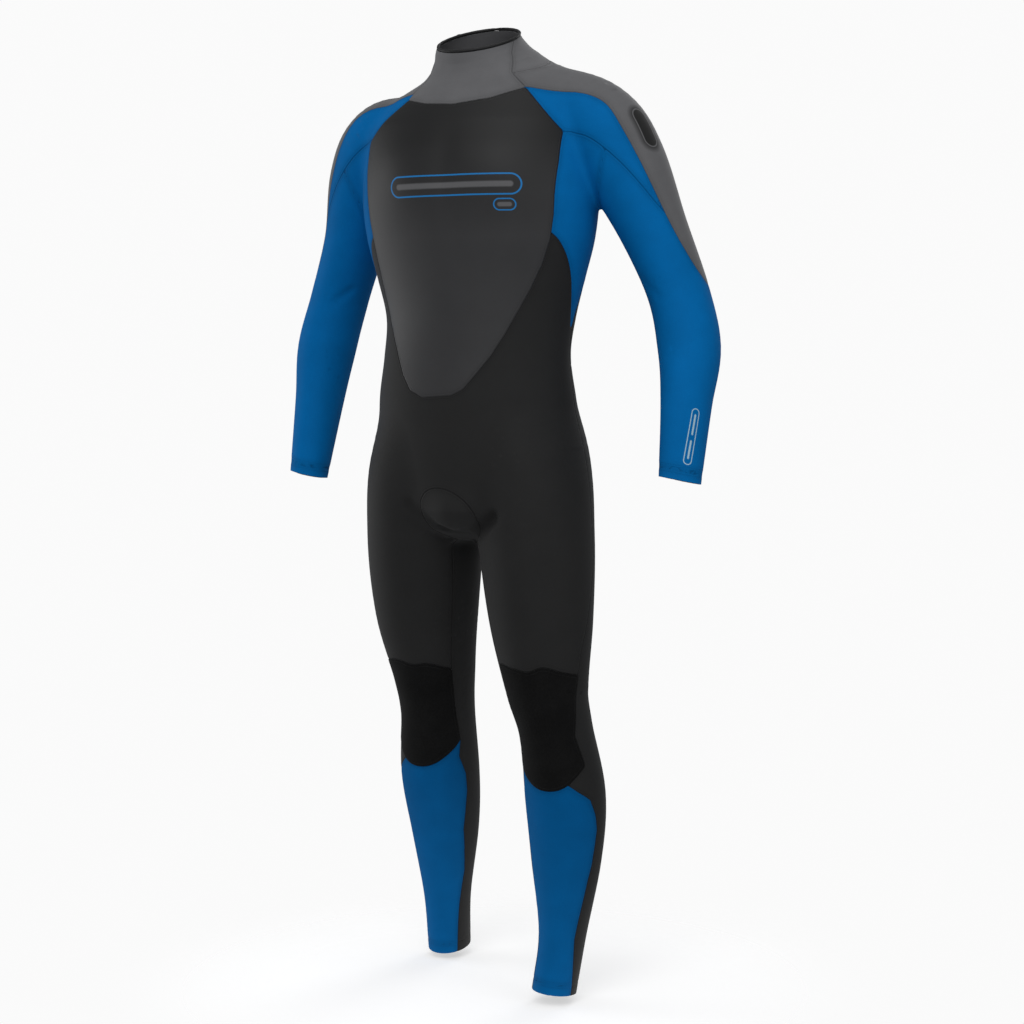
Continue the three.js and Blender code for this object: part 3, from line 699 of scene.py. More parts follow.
class Cloth:
    """Triangles with a zone and a panel each, and for each point its normal and distance to a seam."""

    def __init__(self, points, normals, faces):
        self.points, self.normals, self.faces = points, normals, faces
        self.zone = np.zeros(len(faces), int)
        self.panel = np.zeros(len(faces), int)
        self.names = {"zone": ["torso"], "panel": ["rest"]}
        self.seam = np.full(len(points), 1.0)

    def number(self, kind, name):
        if name not in self.names[kind]:
            self.names[kind].append(name)
        return self.names[kind].index(name)

    def chosen(self, zones=None, panels=None):
        keep = np.ones(len(self.faces), bool)
        if zones:
            keep &= np.isin(self.zone, [self.number("zone", z) for z in zones])
        if panels:
            keep &= np.isin(self.panel, [self.number("panel", q) for q in panels])
        return keep

    def carve(self, function, kind, name, zones=None, panels=None, seam=True):
        """Gives the part where function is negative its own name, cutting the triangles it crosses."""
        keep = self.chosen(zones, panels)
        if not keep.any():
            return
        near = np.unique(self.faces[keep])
        value = np.full(len(self.points), 1.0)
        exact = function(self.points[near])
        if seam:
            close = np.abs(exact) < SEAM_REACH
            spots = near[close]
            base = exact[close]
            steps = [(function(self.points[spots] + PROBE * axis) - base) / PROBE for axis in np.eye(3)]
            slope = np.stack(steps, axis=1)
            slope -= self.normals[spots] * dots(slope, self.normals[spots])[:, None]
            size = np.clip(np.linalg.norm(slope, axis=1), 0.35, 3)
            exact[close] = base / size
        exact[np.abs(exact) < SNAP] = 0
        value[near] = exact
        if seam:
            self.seam[near] = np.minimum(self.seam[near], np.abs(exact))
        self.split(value, keep)
        if seam:
            self.seam[self.last_value == 0] = 0
        number = self.number(kind, name)
        inside = self.last_value[self.faces].sum(axis=1) < 0
        getattr(self, kind)[self.last_keep & inside] = number

    def split(self, value, keep):
        sign = np.sign(value).astype(int)
        marks = sign[self.faces]
        crossing = keep & (marks.min(axis=1) < 0) & (marks.max(axis=1) > 0)
        old = self.faces[crossing]
        marks = marks[crossing]
        edges = np.concatenate([old[:, [i, (i + 1) % 3]] for i in range(3)])
        cut = sign[edges[:, 0]] * sign[edges[:, 1]] < 0
        pairs = np.sort(edges[cut], axis=1)
        pairs, where = np.unique(pairs, axis=0, return_inverse=True)
        slot = np.full(len(edges), -1)
        slot[cut] = len(self.points) + where.ravel()
        slot = slot.reshape(3, -1).T
        a, b = pairs[:, 0], pairs[:, 1]
        t = (value[a] / (value[a] - value[b]))[:, None]
        self.points = np.vstack([self.points, self.points[a] * (1 - t) + self.points[b] * t])
        normal = self.normals[a] * (1 - t) + self.normals[b] * t
        self.normals = np.vstack([self.normals, unit_rows(normal)])
        seam = np.minimum(self.seam[a] * (1 - t[:, 0]) + self.seam[b] * t[:, 0], 1)
        self.seam = np.concatenate([self.seam, seam])
        value = np.concatenate([value, np.zeros(len(pairs))])
        made, source = [], []
        ids = np.flatnonzero(crossing)
        for turn in range(3):
            i, j, k = turn, (turn + 1) % 3, (turn + 2) % 3
            alone = (marks[:, j] == marks[:, k]) & (marks[:, i] == -marks[:, j]) & (marks[:, i] != 0)
            v0, v1, v2 = old[alone, i], old[alone, j], old[alone, k]
            m01, m20 = slot[alone, i], slot[alone, k]
            made += [np.stack([v0, m01, m20], 1), np.stack([m01, v1, v2], 1), np.stack([m01, v2, m20], 1)]
            source += [ids[alone]] * 3
            through = (marks[:, i] == 0) & (marks[:, j] == -marks[:, k]) & (marks[:, j] != 0)
            v0, v1, v2 = old[through, i], old[through, j], old[through, k]
            m12 = slot[through, j]
            made += [np.stack([v0, v1, m12], 1), np.stack([v0, m12, v2], 1)]
            source += [ids[through]] * 2
        source = np.concatenate(source)
        self.faces = np.vstack([self.faces[~crossing], *made])
        self.zone = np.concatenate([self.zone[~crossing], self.zone[source]])
        self.panel = np.concatenate([self.panel[~crossing], self.panel[source]])
        self.last_keep = np.concatenate([keep[~crossing], keep[source]])
        self.last_value = value

    def stitch_line(self, function, panels, zones=None):
        """A line of stitching that doesn't part the panels."""
        keep = self.chosen(zones, panels)
        near = np.unique(self.faces[keep])
        self.seam[near] = np.minimum(self.seam[near], np.abs(function(self.points[near])))


def cut_panels(points, normals, faces):
    cloth = Cloth(points, normals, faces)
    cloth.carve(lambda p: COLLAR_TOP - level_of(p), "panel", "off", seam=False)
    for letter, side in SIDES.items():
        armhole = plane_value(ARMHOLE * [side, 1, 1], ARMHOLE_NORMAL * [-side, 1, -1])
        cloth.carve(armhole, "zone", "shoulder_" + letter, zones=["torso"], seam=False)
        top, foot = arm_bend(letter)
        elbow = plane_value(top, top - foot)
        cloth.carve(elbow, "zone", "elbow_" + letter, ["shoulder_" + letter], seam=False)
        groin = plane_value(GROIN * [side, 1, 1], [-side, 0, 1])
        low = ["torso"]
        cloth.carve(lambda p: np.maximum(groin(p), -side * p[:, 0]), "zone", "hip_" + letter, low, seam=False)
        thigh = plane_value(vec(0, 0, MID_THIGH), [0, 0, 1])
        cloth.carve(thigh, "zone", "knee_" + letter, ["hip_" + letter], seam=False)
        wrist, along = wrist_plane(letter)
        cloth.carve(plane_value(wrist, -along), "panel", "off", ["elbow_" + letter], seam=False)
        ankle, along = end_plane(LEGS[letter])
        cloth.carve(plane_value(ankle, -along), "panel", "off", ["knee_" + letter], seam=False)
    legs = ["hip_l", "hip_r", "knee_l", "knee_r"]

    front = lambda outline: lambda p: np.maximum(in_outline(p[:, 0], p[:, 2], outline), p[:, 1] + 0.002)
    collar_level = lambda p: NECK_SEAM[0] + NECK_SEAM[1] * p[:, 1] - p[:, 2]
    cloth.carve(front(THROAT), "panel", "collar_front", ["torso"], ["rest"])
    cloth.carve(collar_level, "panel", "collar_back", ["torso"], ["rest"])
    cloth.carve(lambda p: p[:, 0], "panel", "collar_back_r", ["torso"], ["collar_back"])
    half, low, high = ZIP_SLOT
    slot = lambda p: np.maximum(np.maximum(np.abs(p[:, 0]) - half, np.abs(p[:, 2] - (low + high) / 2)
                                           - (high - low) / 2), -p[:, 1])
    cloth.carve(slot, "panel", "off", ["torso"], ["rest"])
    cloth.carve(front(CHEST), "panel", "chest", ["torso"], ["rest"])
    for letter, side in SIDES.items():
        zones = ["torso", "shoulder_" + letter, "elbow_" + letter]
        grey = sleeve_value(GREY_EDGE, side, GREY_SLOPE, GREY_REST)
        cloth.carve(grey, "panel", "yoke_" + letter, zones, ["rest"])
        raglan = sleeve_value(RAGLAN, side, RAGLAN_LEAN, RAGLAN_REST)
        behind, out = RAGLAN_BACK
        strip = lambda p: np.maximum(np.maximum(raglan(p), RAGLAN_FROM - side * p[:, 0]),
                                     np.minimum(p[:, 1] - behind, out - np.abs(p[:, 0])))
        cloth.carve(strip, "panel", "raglan_" + letter, zones, ["rest"])
    beyond, above = SIDE_PATCH
    sides = lambda p: np.minimum(in_outline(p[:, 1], p[:, 2], SIDE),
                                 np.maximum(beyond - np.abs(p[:, 0]), above - p[:, 2]))
    cloth.carve(sides, "panel", "side", ["torso"], ["rest"])
    cloth.carve(lambda p: -p[:, 0], "panel", "side_l", ["torso"], ["side"], seam=False)
    x, z, long, wide = GUSSET
    lean = vec(math.cos(GUSSET_TURN), math.sin(GUSSET_TURN))

    def oval(p):
        u = (p[:, 0] - x) * lean[0] + (p[:, 2] - z) * lean[1]
        v = (p[:, 2] - z) * lean[0] - (p[:, 0] - x) * lean[1]
        return np.maximum((np.hypot(u / long, v / wide) - 1) * wide, p[:, 1] - 0.016)

    cloth.carve(oval, "panel", "gusset", ["torso", "hip_l", "hip_r"], ["rest"])
    for letter in SIDES:
        cloth.carve(pad_value(letter), "panel", "pad_" + letter, ["knee_" + letter], ["rest"])
    cloth.carve(leg_seam_value, "panel", "front", ["torso"] + legs, ["rest"])
    cloth.carve(lambda p: p[:, 2] - SEAT_TOP, "panel", "seat", ["torso"], ["rest"])
    cloth.carve(lambda p: p[:, 0], "panel", "back_r", ["torso"], ["rest"], seam=False)
    for letter, side in SIDES.items():
        knee = ["knee_" + letter]
        cloth.carve(lambda p: p[:, 2] - SHIN_TOP, "panel", "shin_" + letter, knee, ["front"], seam=False)
        ankle, along = end_plane(LEGS[letter])
        hem = plane_value(ankle - HEM_STITCH * along, -along)
        cloth.stitch_line(hem, ["shin_" + letter, "rest"], knee)
        wrist, along = wrist_plane(letter)
        for inset in CUFF_STITCHES:
            cuff = plane_value(wrist - inset * along, -along)
            cloth.stitch_line(cuff, ["rest"], ["elbow_" + letter])
        # the sleeve is sewn to the side panel a little way out from the armhole
        seam = ["shoulder_" + letter]
        out, slope, height = SLEEVE_SEAM
        cloth.stitch_line(lambda p: side * p[:, 0] - out + slope * (height - p[:, 2]), ["rest"], seam)
    return cloth


def arm_bend(letter):
    rows = ARMS[letter]
    high, low = ARM_BEND[letter]
    return centre_at(rows, high), centre_at(rows, low)


def keep_rest_place(mesh):
    """Textures follow where a point is at rest, so they stay put when the cloth bends."""
    place = np.empty(len(mesh.vertices) * 3, np.float32)
    mesh.vertices.foreach_get("co", place)
    mesh.attributes.new("rest", "FLOAT_VECTOR", "POINT").data.foreach_set("vector", place)


def build_piece(name, points, normals, seam, faces, raise_by=0.0, thick=WALL):
    """A panel of cloth with its thickness: outside, lining, and an edge all round."""
    used, flat = np.unique(faces, return_inverse=True)
    faces = flat.reshape(faces.shape)
    outer, normal, seam = points[used], normals[used], seam[used]
    edges = np.concatenate([faces[:, [0, 1]], faces[:, [1, 2]], faces[:, [2, 0]]])
    key = np.sort(edges, axis=1)
    _, first, count = np.unique(key, axis=0, return_index=True, return_counts=True)
    rim = edges[first[count == 1]]
    n = len(outer)
    lift = outer + normal * raise_by
    inner = outer - normal * thick
    rim_ids = np.unique(rim)
    place = np.full(n, -1)
    place[rim_ids] = np.arange(len(rim_ids))
    rim_outer = 2 * n + place
    rim_inner = rim_outer + len(rim_ids)
    across = np.zeros((n, 3))
    direction = np.cross(outer[rim[:, 1]] - outer[rim[:, 0]], normal[rim[:, 0]])
    np.add.at(across, rim[:, 0], direction)
    np.add.at(across, rim[:, 1], direction)
    across = across[rim_ids]
    across = across / (np.linalg.norm(across, axis=1)[:, None] + 1e-12)
    verts = np.vstack([lift, inner, lift[rim_ids], inner[rim_ids]])
    vert_normals = np.vstack([normal, -normal, across, across])
    a, b = rim[:, 0], rim[:, 1]
    quads = np.stack([rim_outer[b], rim_outer[a], rim_inner[a], rim_inner[b]], 1)
    mesh = bpy.data.meshes.new(name)
    polygons = faces.tolist() + (faces[:, ::-1] + n).tolist() + quads.tolist()
    mesh.from_pydata((verts + vec(0, 0, HEM)).tolist(), [], polygons)
    mesh.polygons.foreach_set("use_smooth", np.ones(len(polygons), bool))
    which = np.concatenate([np.zeros(len(faces), np.int32), np.ones(len(faces) + len(quads), np.int32)])
    mesh.polygons.foreach_set("material_index", which)
    mesh.normals_split_custom_set_from_vertices(vert_normals.tolist())
    attribute = mesh.attributes.new("seam", "FLOAT", "POINT")
    all_seam = np.concatenate([seam, np.full(n, 1.0), seam[rim_ids], seam[rim_ids]])
    attribute.data.foreach_set("value", all_seam.astype(np.float32))
    keep_rest_place(mesh)
    return add_object(name, mesh)


# ---------- materials ----------
def new_material(name, colour, roughness, specular, sheen=0.0, metallic=0.0):
    material = bpy.data.materials.new(name)
    material.use_nodes = True
    shader = material.node_tree.nodes["Principled BSDF"]
    shader.inputs["Base Color"].default_value = (*colour, 1)
    shader.inputs["Roughness"].default_value = roughness
    shader.inputs["Specular IOR Level"].default_value = specular
    shader.inputs["Metallic"].default_value = metallic
    shader.inputs["Sheen Weight"].default_value = sheen
    shader.inputs["Sheen Roughness"].default_value = 0.4
    return material, shader


def linear(*rgb):
    """An 8-bit screen colour as the linear values that shaders use."""
    return tuple((c / 255 / 12.92) if c <= 10 else ((c / 255 + 0.055) / 1.055) ** 2.4 for c in rgb)


class Graph:
    """Short names for adding shader nodes to a material or the world."""

    def __init__(self, owner):
        self.nodes, self.links = owner.node_tree.nodes, owner.node_tree.links

    def add(self, kind, **values):
        node = self.nodes.new(kind)
        for key, value in values.items():
            setattr(node, key, value)
        return node

    def math(self, operation, a, b=0.0, clamp=False):
        node = self.add("ShaderNodeMath", operation=operation, use_clamp=clamp)
        for socket, value in zip(node.inputs, (a, b)):
            if isinstance(value, (int, float)):
                socket.default_value = value
            else:
                self.links.new(value, socket)
        return node.outputs[0]

    def rest(self):
        return self.add("ShaderNodeAttribute", attribute_name="rest").outputs["Vector"]

    def vector(self, operation, *values):
        node = self.add("ShaderNodeVectorMath", operation=operation)
        for socket, value in zip(node.inputs, values):
            if isinstance(value, bpy.types.NodeSocket):
                self.links.new(value, socket)
            else:
                socket.default_value = value
        return node

    def mix_shaders(self, share, first, second, output):
        mix = self.add("ShaderNodeMixShader")
        for socket, value in zip(mix.inputs, (share, first, second)):
            self.links.new(value, socket)
        self.links.new(mix.outputs["Shader"], output.inputs["Surface"])

    def noise(self, scale, detail):
        node = self.add("ShaderNodeTexNoise")
        node.inputs["Scale"].default_value = scale
        node.inputs["Detail"].default_value = detail
        self.links.new(self.rest(), node.inputs["Vector"])
        return node.outputs["Fac"]

    def bump(self, height, strength, shader):
        node = self.add("ShaderNodeBump")
        node.inputs["Distance"].default_value = 1.0
        node.inputs["Strength"].default_value = strength
        self.links.new(height, node.inputs["Height"])
        self.links.new(node.outputs["Normal"], shader.inputs["Normal"])

    def capsule(self, a, b, flatten):
        """Distance from the line between two points."""
        where = self.vector("MULTIPLY", self.rest(), flatten).outputs[0]
        a, b = np.array(a) * flatten, np.array(b) * flatten
        step = b - a
        gap = self.vector("SUBTRACT", where, a).outputs[0]
        along = self.vector("DOT_PRODUCT", gap, step / (step @ step)).outputs["Value"]
        back = self.vector("SCALE", step)
        self.links.new(self.math("ADD", along, 0.0, clamp=True), back.inputs["Scale"])
        return self.vector("DISTANCE", gap, back.outputs[0]).outputs["Value"]

    def band(self, distance, radius, half):
        """1 within half of a distance, 0 beyond."""
        off = self.math("ABSOLUTE", self.math("SUBTRACT", distance, radius))
        return self.ramp(off, half * 0.7, half * 1.3, 1.0, 0.0)

    def paint(self, base, colour, mask):
        node = self.add("ShaderNodeMix", data_type="RGBA")
        self.links.new(mask, node.inputs["Factor"])
        self.links.new(base, node.inputs["A"])
        node.inputs["B"].default_value = (*colour, 1)
        return node.outputs["Result"]

    def ramp(self, value, low, high, start=0.0, end=1.0):
        node = self.add("ShaderNodeMapRange", clamp=True)
        self.links.new(value, node.inputs["Value"])
        node.inputs["From Min"].default_value = low
        node.inputs["From Max"].default_value = high
        node.inputs["To Min"].default_value = start
        node.inputs["To Max"].default_value = end
        return node.outputs["Result"]


# Distances from a seam at which each effect ends.
GROOVE_END, STITCH_AT, STITCH_HALF, SHADE_END, DARK_END = 0.0016, 0.0038, 0.0007, 0.010, 0.0009
GROOVE_HEIGHT, STITCH_HEIGHT = 0.0010, 0.00025
# Painted shadow along creases: its reach in crease half widths, and its darkest factor on the crease.
CREASE_SHADOW_REACH, CREASE_SHADOW_TONE = 1.8, 0.30


def cloth_material(name, colour, roughness, grain, grain_height, specular=0.35, sheen=0.15, seam_dark=0.55,
                   mottling=0.05, marks=(), stitch_tone=0.90, height_shading=((0, 1), (1, 1)), crease_shadows=()):
    """Neoprene faced with cloth or skin, with a groove and a stitch line where panels meet.

    Two heights with their factors grade the colour as painted light and shade, standing in for how the light
    falls with height, and the creases listed get a painted shadow along them."""
    material, shader = new_material(name, colour, roughness, specular, sheen)
    graph = Graph(material)
    seam = graph.add("ShaderNodeAttribute", attribute_name="seam").outputs["Fac"]
    groove = graph.ramp(seam, 0.0, GROOVE_END)
    stitch_near = graph.math("ABSOLUTE", graph.math("SUBTRACT", seam, STITCH_AT))
    stitch = graph.ramp(stitch_near, 0.0, STITCH_HALF)
    fine = graph.noise(grain, 3.0)
    place = graph.add("ShaderNodeSeparateXYZ")
    graph.links.new(graph.rest(), place.inputs[0])
    (low, low_shading), (high, high_shading) = height_shading

    tone_and_shade = graph.ramp(graph.noise(28.0, 3.0), 0.3, 0.7, 1 - mottling, 1 + mottling)
    layers = [graph.ramp(fine, 0.3, 0.7, 1 - mottling, 1 + mottling),
              graph.ramp(seam, 0.0, SHADE_END, 0.85, 1.0)]
    # painted shadow along each crease, darkest on its line
    for start, end, width, _ in crease_shadows:
        shadow = graph.capsule(start + vec(0, 0, HEM), end + vec(0, 0, HEM), ALL)
        layers.append(graph.ramp(shadow, 0.0, CREASE_SHADOW_REACH * width, CREASE_SHADOW_TONE, 1.0))
    # painted light and shade: the colour grades from one factor to the other between two heights
    layers += [graph.ramp(place.outputs["Z"], low + HEM, high + HEM, low_shading, high_shading),
               graph.ramp(seam, 0.0, DARK_END, seam_dark, 1.0),
               graph.math("ADD", graph.math("MULTIPLY", stitch, 1 - stitch_tone), stitch_tone)]
    for layer in layers:
        tone_and_shade = graph.math("MULTIPLY", tone_and_shade, layer)
    mix = graph.add("ShaderNodeMix", data_type="RGBA")
    mix.inputs["A"].default_value = (0, 0, 0, 1)
    mix.inputs["B"].default_value = (*colour, 1)
    mix.clamp_factor = False
    graph.links.new(tone_and_shade, mix.inputs["Factor"])
    printed = mix.outputs["Result"]
    for a, b, flatten, radius, half, ink in marks:
        printed = graph.paint(printed, ink, graph.band(graph.capsule(a, b, flatten), radius, half))
    graph.links.new(printed, shader.inputs["Base Color"])

    height = graph.math("ADD", graph.math("MULTIPLY", groove, GROOVE_HEIGHT),
                        graph.math("MULTIPLY", stitch, STITCH_HEIGHT))
    graph.bump(graph.math("ADD", height, graph.math("MULTIPLY", fine, grain_height)), 0.8, shader)
    return material


def plain_material(name, colour, roughness, specular, grain=900.0, grain_height=0.0001, metallic=0.0,
                   sheen=0.0):
    material, shader = new_material(name, colour, roughness, specular, sheen, metallic)
    graph = Graph(material)
    graph.bump(graph.math("MULTIPLY", graph.noise(grain, 2.0), grain_height), 0.6, shader)
    return material


def on_body(x, y, z):
    """The point of the body nearest to this one, in the row frame."""
    return onto_body(vec([x, y, z]), 4)[0] + vec(0, 0, HEM)


BLUE_INK = linear(0, 120, 190)
PALE_INK = linear(170, 200, 215)
GREY_INK = linear(95, 95, 97)
BLACK_INK = linear(22, 22, 22)
FRONT = (1, 0, 1)
ALL = (1, 1, 1)
# Marks: two ends of a line, which axes count, the distance from it, half the width there, the ink.
BAR = [(x, 0, HEM + 1.193) for x in (-0.078, 0.098)]
SMALL_BAR = [(x, 0, HEM + 1.193 - 0.029) for x in (0.082, 0.096)]
CHEST_MARKS = [
    (*BAR, FRONT, 0.0, 0.0040, GREY_INK),
    (*BAR, FRONT, 0.0145, 0.0011, BLUE_INK),
    (*SMALL_BAR, FRONT, 0.0080, 0.0009, BLUE_INK),
    (*SMALL_BAR, FRONT, 0.0, 0.0030, GREY_INK),
]
LABEL_TOP, LABEL_FOOT = on_body(0.366, -0.056, 0.868), on_body(0.362, -0.080, 0.802)
LABEL_STEP = LABEL_FOOT - LABEL_TOP
ARM_MARKS = [
    (LABEL_TOP, LABEL_FOOT, ALL, 0.0058, 0.0007, PALE_INK),
    (LABEL_TOP + 0.05 * LABEL_STEP, LABEL_TOP + 0.45 * LABEL_STEP, ALL, 0.0, 0.0014, PALE_INK),
    (LABEL_TOP + 0.60 * LABEL_STEP, LABEL_TOP + 0.95 * LABEL_STEP, ALL, 0.0, 0.0014, PALE_INK),
]
BADGE_TOP, BADGE_FOOT = on_body(0.262, -0.004, 1.294), on_body(0.280, -0.004, 1.262)
SHOULDER_MARKS = [
    (BADGE_TOP, BADGE_FOOT, ALL, 0.0, 0.0175, BLACK_INK),
    (BADGE_TOP, BADGE_FOOT, ALL, 0.0128, 0.0010, GREY_INK),
]

MATERIALS = {
    "grey_jersey": cloth_material("grey_jersey", linear(98, 98, 100), 0.72, 900.0, 0.00010,
                                  marks=SHOULDER_MARKS),
    # Painted shade: the blue darkens from 0.8 m down to 0.4 m above the hems, and painted shadow lies along
    # the armpit creases.
    "blue_jersey": cloth_material("blue_jersey", linear(0, 103, 170), 0.75, 900.0, 0.00010, specular=0.06,
                                  sheen=0.0, marks=ARM_MARKS, height_shading=((0.40, 0.72), (0.80, 1.03)),
                                  crease_shadows=CREASES[:3]),
    # Painted shadow lies along the creases round the crotch.
    "black_jersey": cloth_material("black_jersey", linear(34, 34, 34), 0.72, 900.0, 0.00010, specular=0.22,
                                   sheen=0.05, seam_dark=0.15, crease_shadows=CREASES[3:7]),
    # A painted highlight lightens the lower chest and painted shade darkens its top, graded between 1.12 m
    # and 1.26 m above the hems.
    "smooth_skin": cloth_material("smooth_skin", linear(27, 27, 28), 0.58, 600.0, 0.00006, specular=0.40,
                                  sheen=0.0, mottling=0.04, marks=CHEST_MARKS,
                                  height_shading=((1.12, 2.7), (1.26, 0.45))),
    "knee_fabric": cloth_material("knee_fabric", linear(17, 17, 17), 0.9, 420.0, 0.00035, specular=0.12,
                                  sheen=0.03, mottling=0.22, stitch_tone=2.2),
    "lining": plain_material("lining", linear(40, 40, 42), 0.9, 0.15, 700.0, 0.00015, sheen=0.1),
    "collar_lining": plain_material("collar_lining", linear(92, 92, 94), 0.9, 0.15, 700.0, 0.00015,
                                    sheen=0.1),
    "trim_rubber": plain_material("trim_rubber", linear(24, 24, 25), 0.6, 0.35),
    "zip_plastic": plain_material("zip_plastic", linear(20, 20, 21), 0.42, 0.5, 400.0, 0.00004),
    "zip_metal": plain_material("zip_metal", linear(70, 70, 74), 0.35, 0.5, 500.0, 0.00005, metallic=0.9),
    "hook_loop": plain_material("hook_loop", linear(30, 30, 31), 0.95, 0.1, 2200.0, 0.0009),
}

# ---------- the panels of the suit ----------
# The material of each panel; the rest is blue on the arms and black elsewhere.
SLOTS = {
    "collar_front": "grey_jersey",
    "collar_back": "grey_jersey",
    "collar_back_r": "grey_jersey",
    "chest": "smooth_skin",
    "yoke": "grey_jersey",
    "raglan": "blue_jersey",
    "side": "blue_jersey",
    "gusset": "black_jersey",
    "front": "black_jersey",
    "seat": "black_jersey",
    "back_r": "black_jersey",
    "pad": "knee_fabric",
    "shin": "blue_jersey",
}
# The CAD nodes that each panel in each zone stands for.
STANDS_FOR = {
    "torso collar_front": ["collar_front"],
    "torso collar_back": ["collar_back_l"],
    "torso collar_back_r": ["collar_back_r"],
    "torso chest": ["chest_panel"],
    "torso yoke_l": ["shoulder_yoke_l"],
    "torso yoke_r": ["shoulder_yoke_r"],
    "torso side_l": ["side_panel_l"],
    "torso side": ["side_panel_r"],
    "torso gusset": ["crotch_gusset"],
    "torso front": ["front_body"],
    "torso seat": ["seat_panel"],
    "torso rest": ["back_panel_l"],
    "torso back_r": ["back_panel_r"],
}
for k in SIDES:
    STANDS_FOR.update({
        f"shoulder_{k} yoke_{k}": [f"shoulder_cap_grey_{k}", f"upper_sleeve_grey_{k}"],
        f"shoulder_{k} rest": [f"shoulder_cap_blue_{k}", f"upper_sleeve_blue_{k}"],
        f"elbow_{k} rest": [f"elbow_sleeve_{k}", f"forearm_sleeve_{k}", f"wrist_cuff_{k}"],
        f"hip_{k} front": [f"hip_band_{k}", f"thigh_front_{k}"],
        f"hip_{k} rest": [f"thigh_back_{k}"],
        f"knee_{k} pad_{k}": [f"knee_pad_{k}"],
        f"knee_{k} shin_{k}": [f"shin_{k}", f"ankle_hem_{k}"],
        f"knee_{k} rest": [f"knee_back_{k}", f"calf_{k}"],
    })
PAD_LIFT = 0.0008
DIP, DIP_END = 0.0004, 0.004  # the cloth sinks this much at a seam, up to here
FEWEST_FACES = 12  # smaller scraps are dropped


def slot_of(zone, panel):
    base = panel[:-2] if panel[-2:] in ("_l", "_r") and panel not in SLOTS else panel
    if base != "rest":
        return SLOTS[base]
    if zone.startswith(("shoulder", "elbow")):
        return "blue_jersey"
    return "black_jersey"


def attach(piece, zone):
    """A torso piece rides on the torso's body; any other piece keeps its place, with its transform baked into
    its mesh.
    """
    if zone == "torso":
        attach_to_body(piece, "torso")
    elif zone.startswith("shoulder"):
        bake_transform(piece)
    elif zone.startswith("elbow"):
        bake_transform(piece)
    elif zone.startswith("hip"):
        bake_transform(piece)
    else:
        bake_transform(piece)


def make_suit():
    points, quads = body_surface()
    points = relax(points, quads, 2)
    normals = unit_rows(gradient(body_distance, points)[1])
    faces = np.vstack([quads[:, [0, 1, 2]], quads[:, [0, 2, 3]]])
    cloth = cut_panels(points, normals, faces)
    dip = DIP * (1 - smoothstep(0, DIP_END, cloth.seam))
    points = cloth.points - cloth.normals * dip[:, None]
    for zone in list(cloth.names["zone"]):
        for panel in list(cloth.names["panel"]):
            keep = cloth.chosen([zone], [panel])
            if panel == "off" or keep.sum() < FEWEST_FACES:
                continue
            stands = STANDS_FOR.get(f"{zone} {panel}", [])
            lift = PAD_LIFT if panel.startswith("pad") else 0.0
            piece = build_piece(f"suit_{zone}_{panel}", points, cloth.normals, cloth.seam,
                                cloth.faces[keep], lift)
            slot = slot_of(zone, panel)
            lining = "collar_lining" if panel.startswith("collar") else "lining"
            for look in (slot, lining):
                piece.data.materials.append(MATERIALS[look])
            attach(piece, zone)
            if stands:
                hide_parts(*stands)


# ---------- binding, zip and collar tab ----------
def solid_piece(name, verts, faces, slot, body, smooth=True, replaces=()):
    """A closed piece of its own, riding on a body. Heights are from the hems."""
    mesh = bpy.data.meshes.new(name)
    mesh.from_pydata((np.array(verts) + vec(0, 0, HEM)).tolist(), [], [list(f) for f in faces])
    mesh.polygons.foreach_set("use_smooth", np.full(len(mesh.polygons), smooth))
    far = np.full(len(verts), 1.0, np.float32)
    mesh.attributes.new("seam", "FLOAT", "POINT").data.foreach_set("value", far)
    keep_rest_place(mesh)
    mesh.materials.append(MATERIALS[slot])
    piece = add_object(name, mesh)
    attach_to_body(piece, body)
    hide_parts(*replaces)
    return piece


def loft(rings):
    """Faces between rings of points, with flat ends."""
    count, around = len(rings), len(rings[0])
    faces = []
    for a in range(0, (count - 1) * around, around):
        b = a + around
        for j in range(around):
            k = (j + 1) % around
            faces.append((a + j, a + k, b + k, b + j))
    faces.append(tuple(range(around))[::-1])
    faces.append(tuple((count - 1) * around + j for j in range(around)))
    return np.concatenate(rings), faces


BINDING_RADIUS = 0.0023
RIM = (0.0605, 0.0600)
RIM_CENTRE = (-0.003, 0.004)
RIM_GAP = 0.0001
SPLIT = 0.002  # half the split in the rim, in radians


def make_binding():
    """A rolled rubber binding round the collar's rim, stopping short at the split."""
    rings = []
    steps = 120
    for i in range(steps + 1):
        angle = math.pi / 2 + SPLIT + (2 * math.pi - 2 * SPLIT) * i / steps
        out = vec(math.cos(angle), math.sin(angle), 0)
        place = vec(RIM_CENTRE[0] + RIM[0] * out[0], RIM_CENTRE[1] + RIM[1] * out[1], 0)
        place[2] = COLLAR_TOP + BINDING_RADIUS + RIM_GAP + COLLAR_LEAN * place[1]
        taper = min(1.0, 0.8 + 12.0 * min(i, steps - i) / steps)
        ring = []
        for j in range(16):
            turn = 2 * math.pi * j / 16
            roll = BINDING_RADIUS * taper * (1 - 0.06 * (abs(math.sin(steps * 0.9 * angle)) > 0.9))
            ring.append(place + roll * (math.cos(turn) * out + math.sin(turn) * vec(0, 0, 1)))
        rings.append(np.array(ring))
    verts, faces = loft(rings)
    solid_piece("collar_rolled_binding", verts, faces, "trim_rubber", "torso", replaces=["collar_binding"])


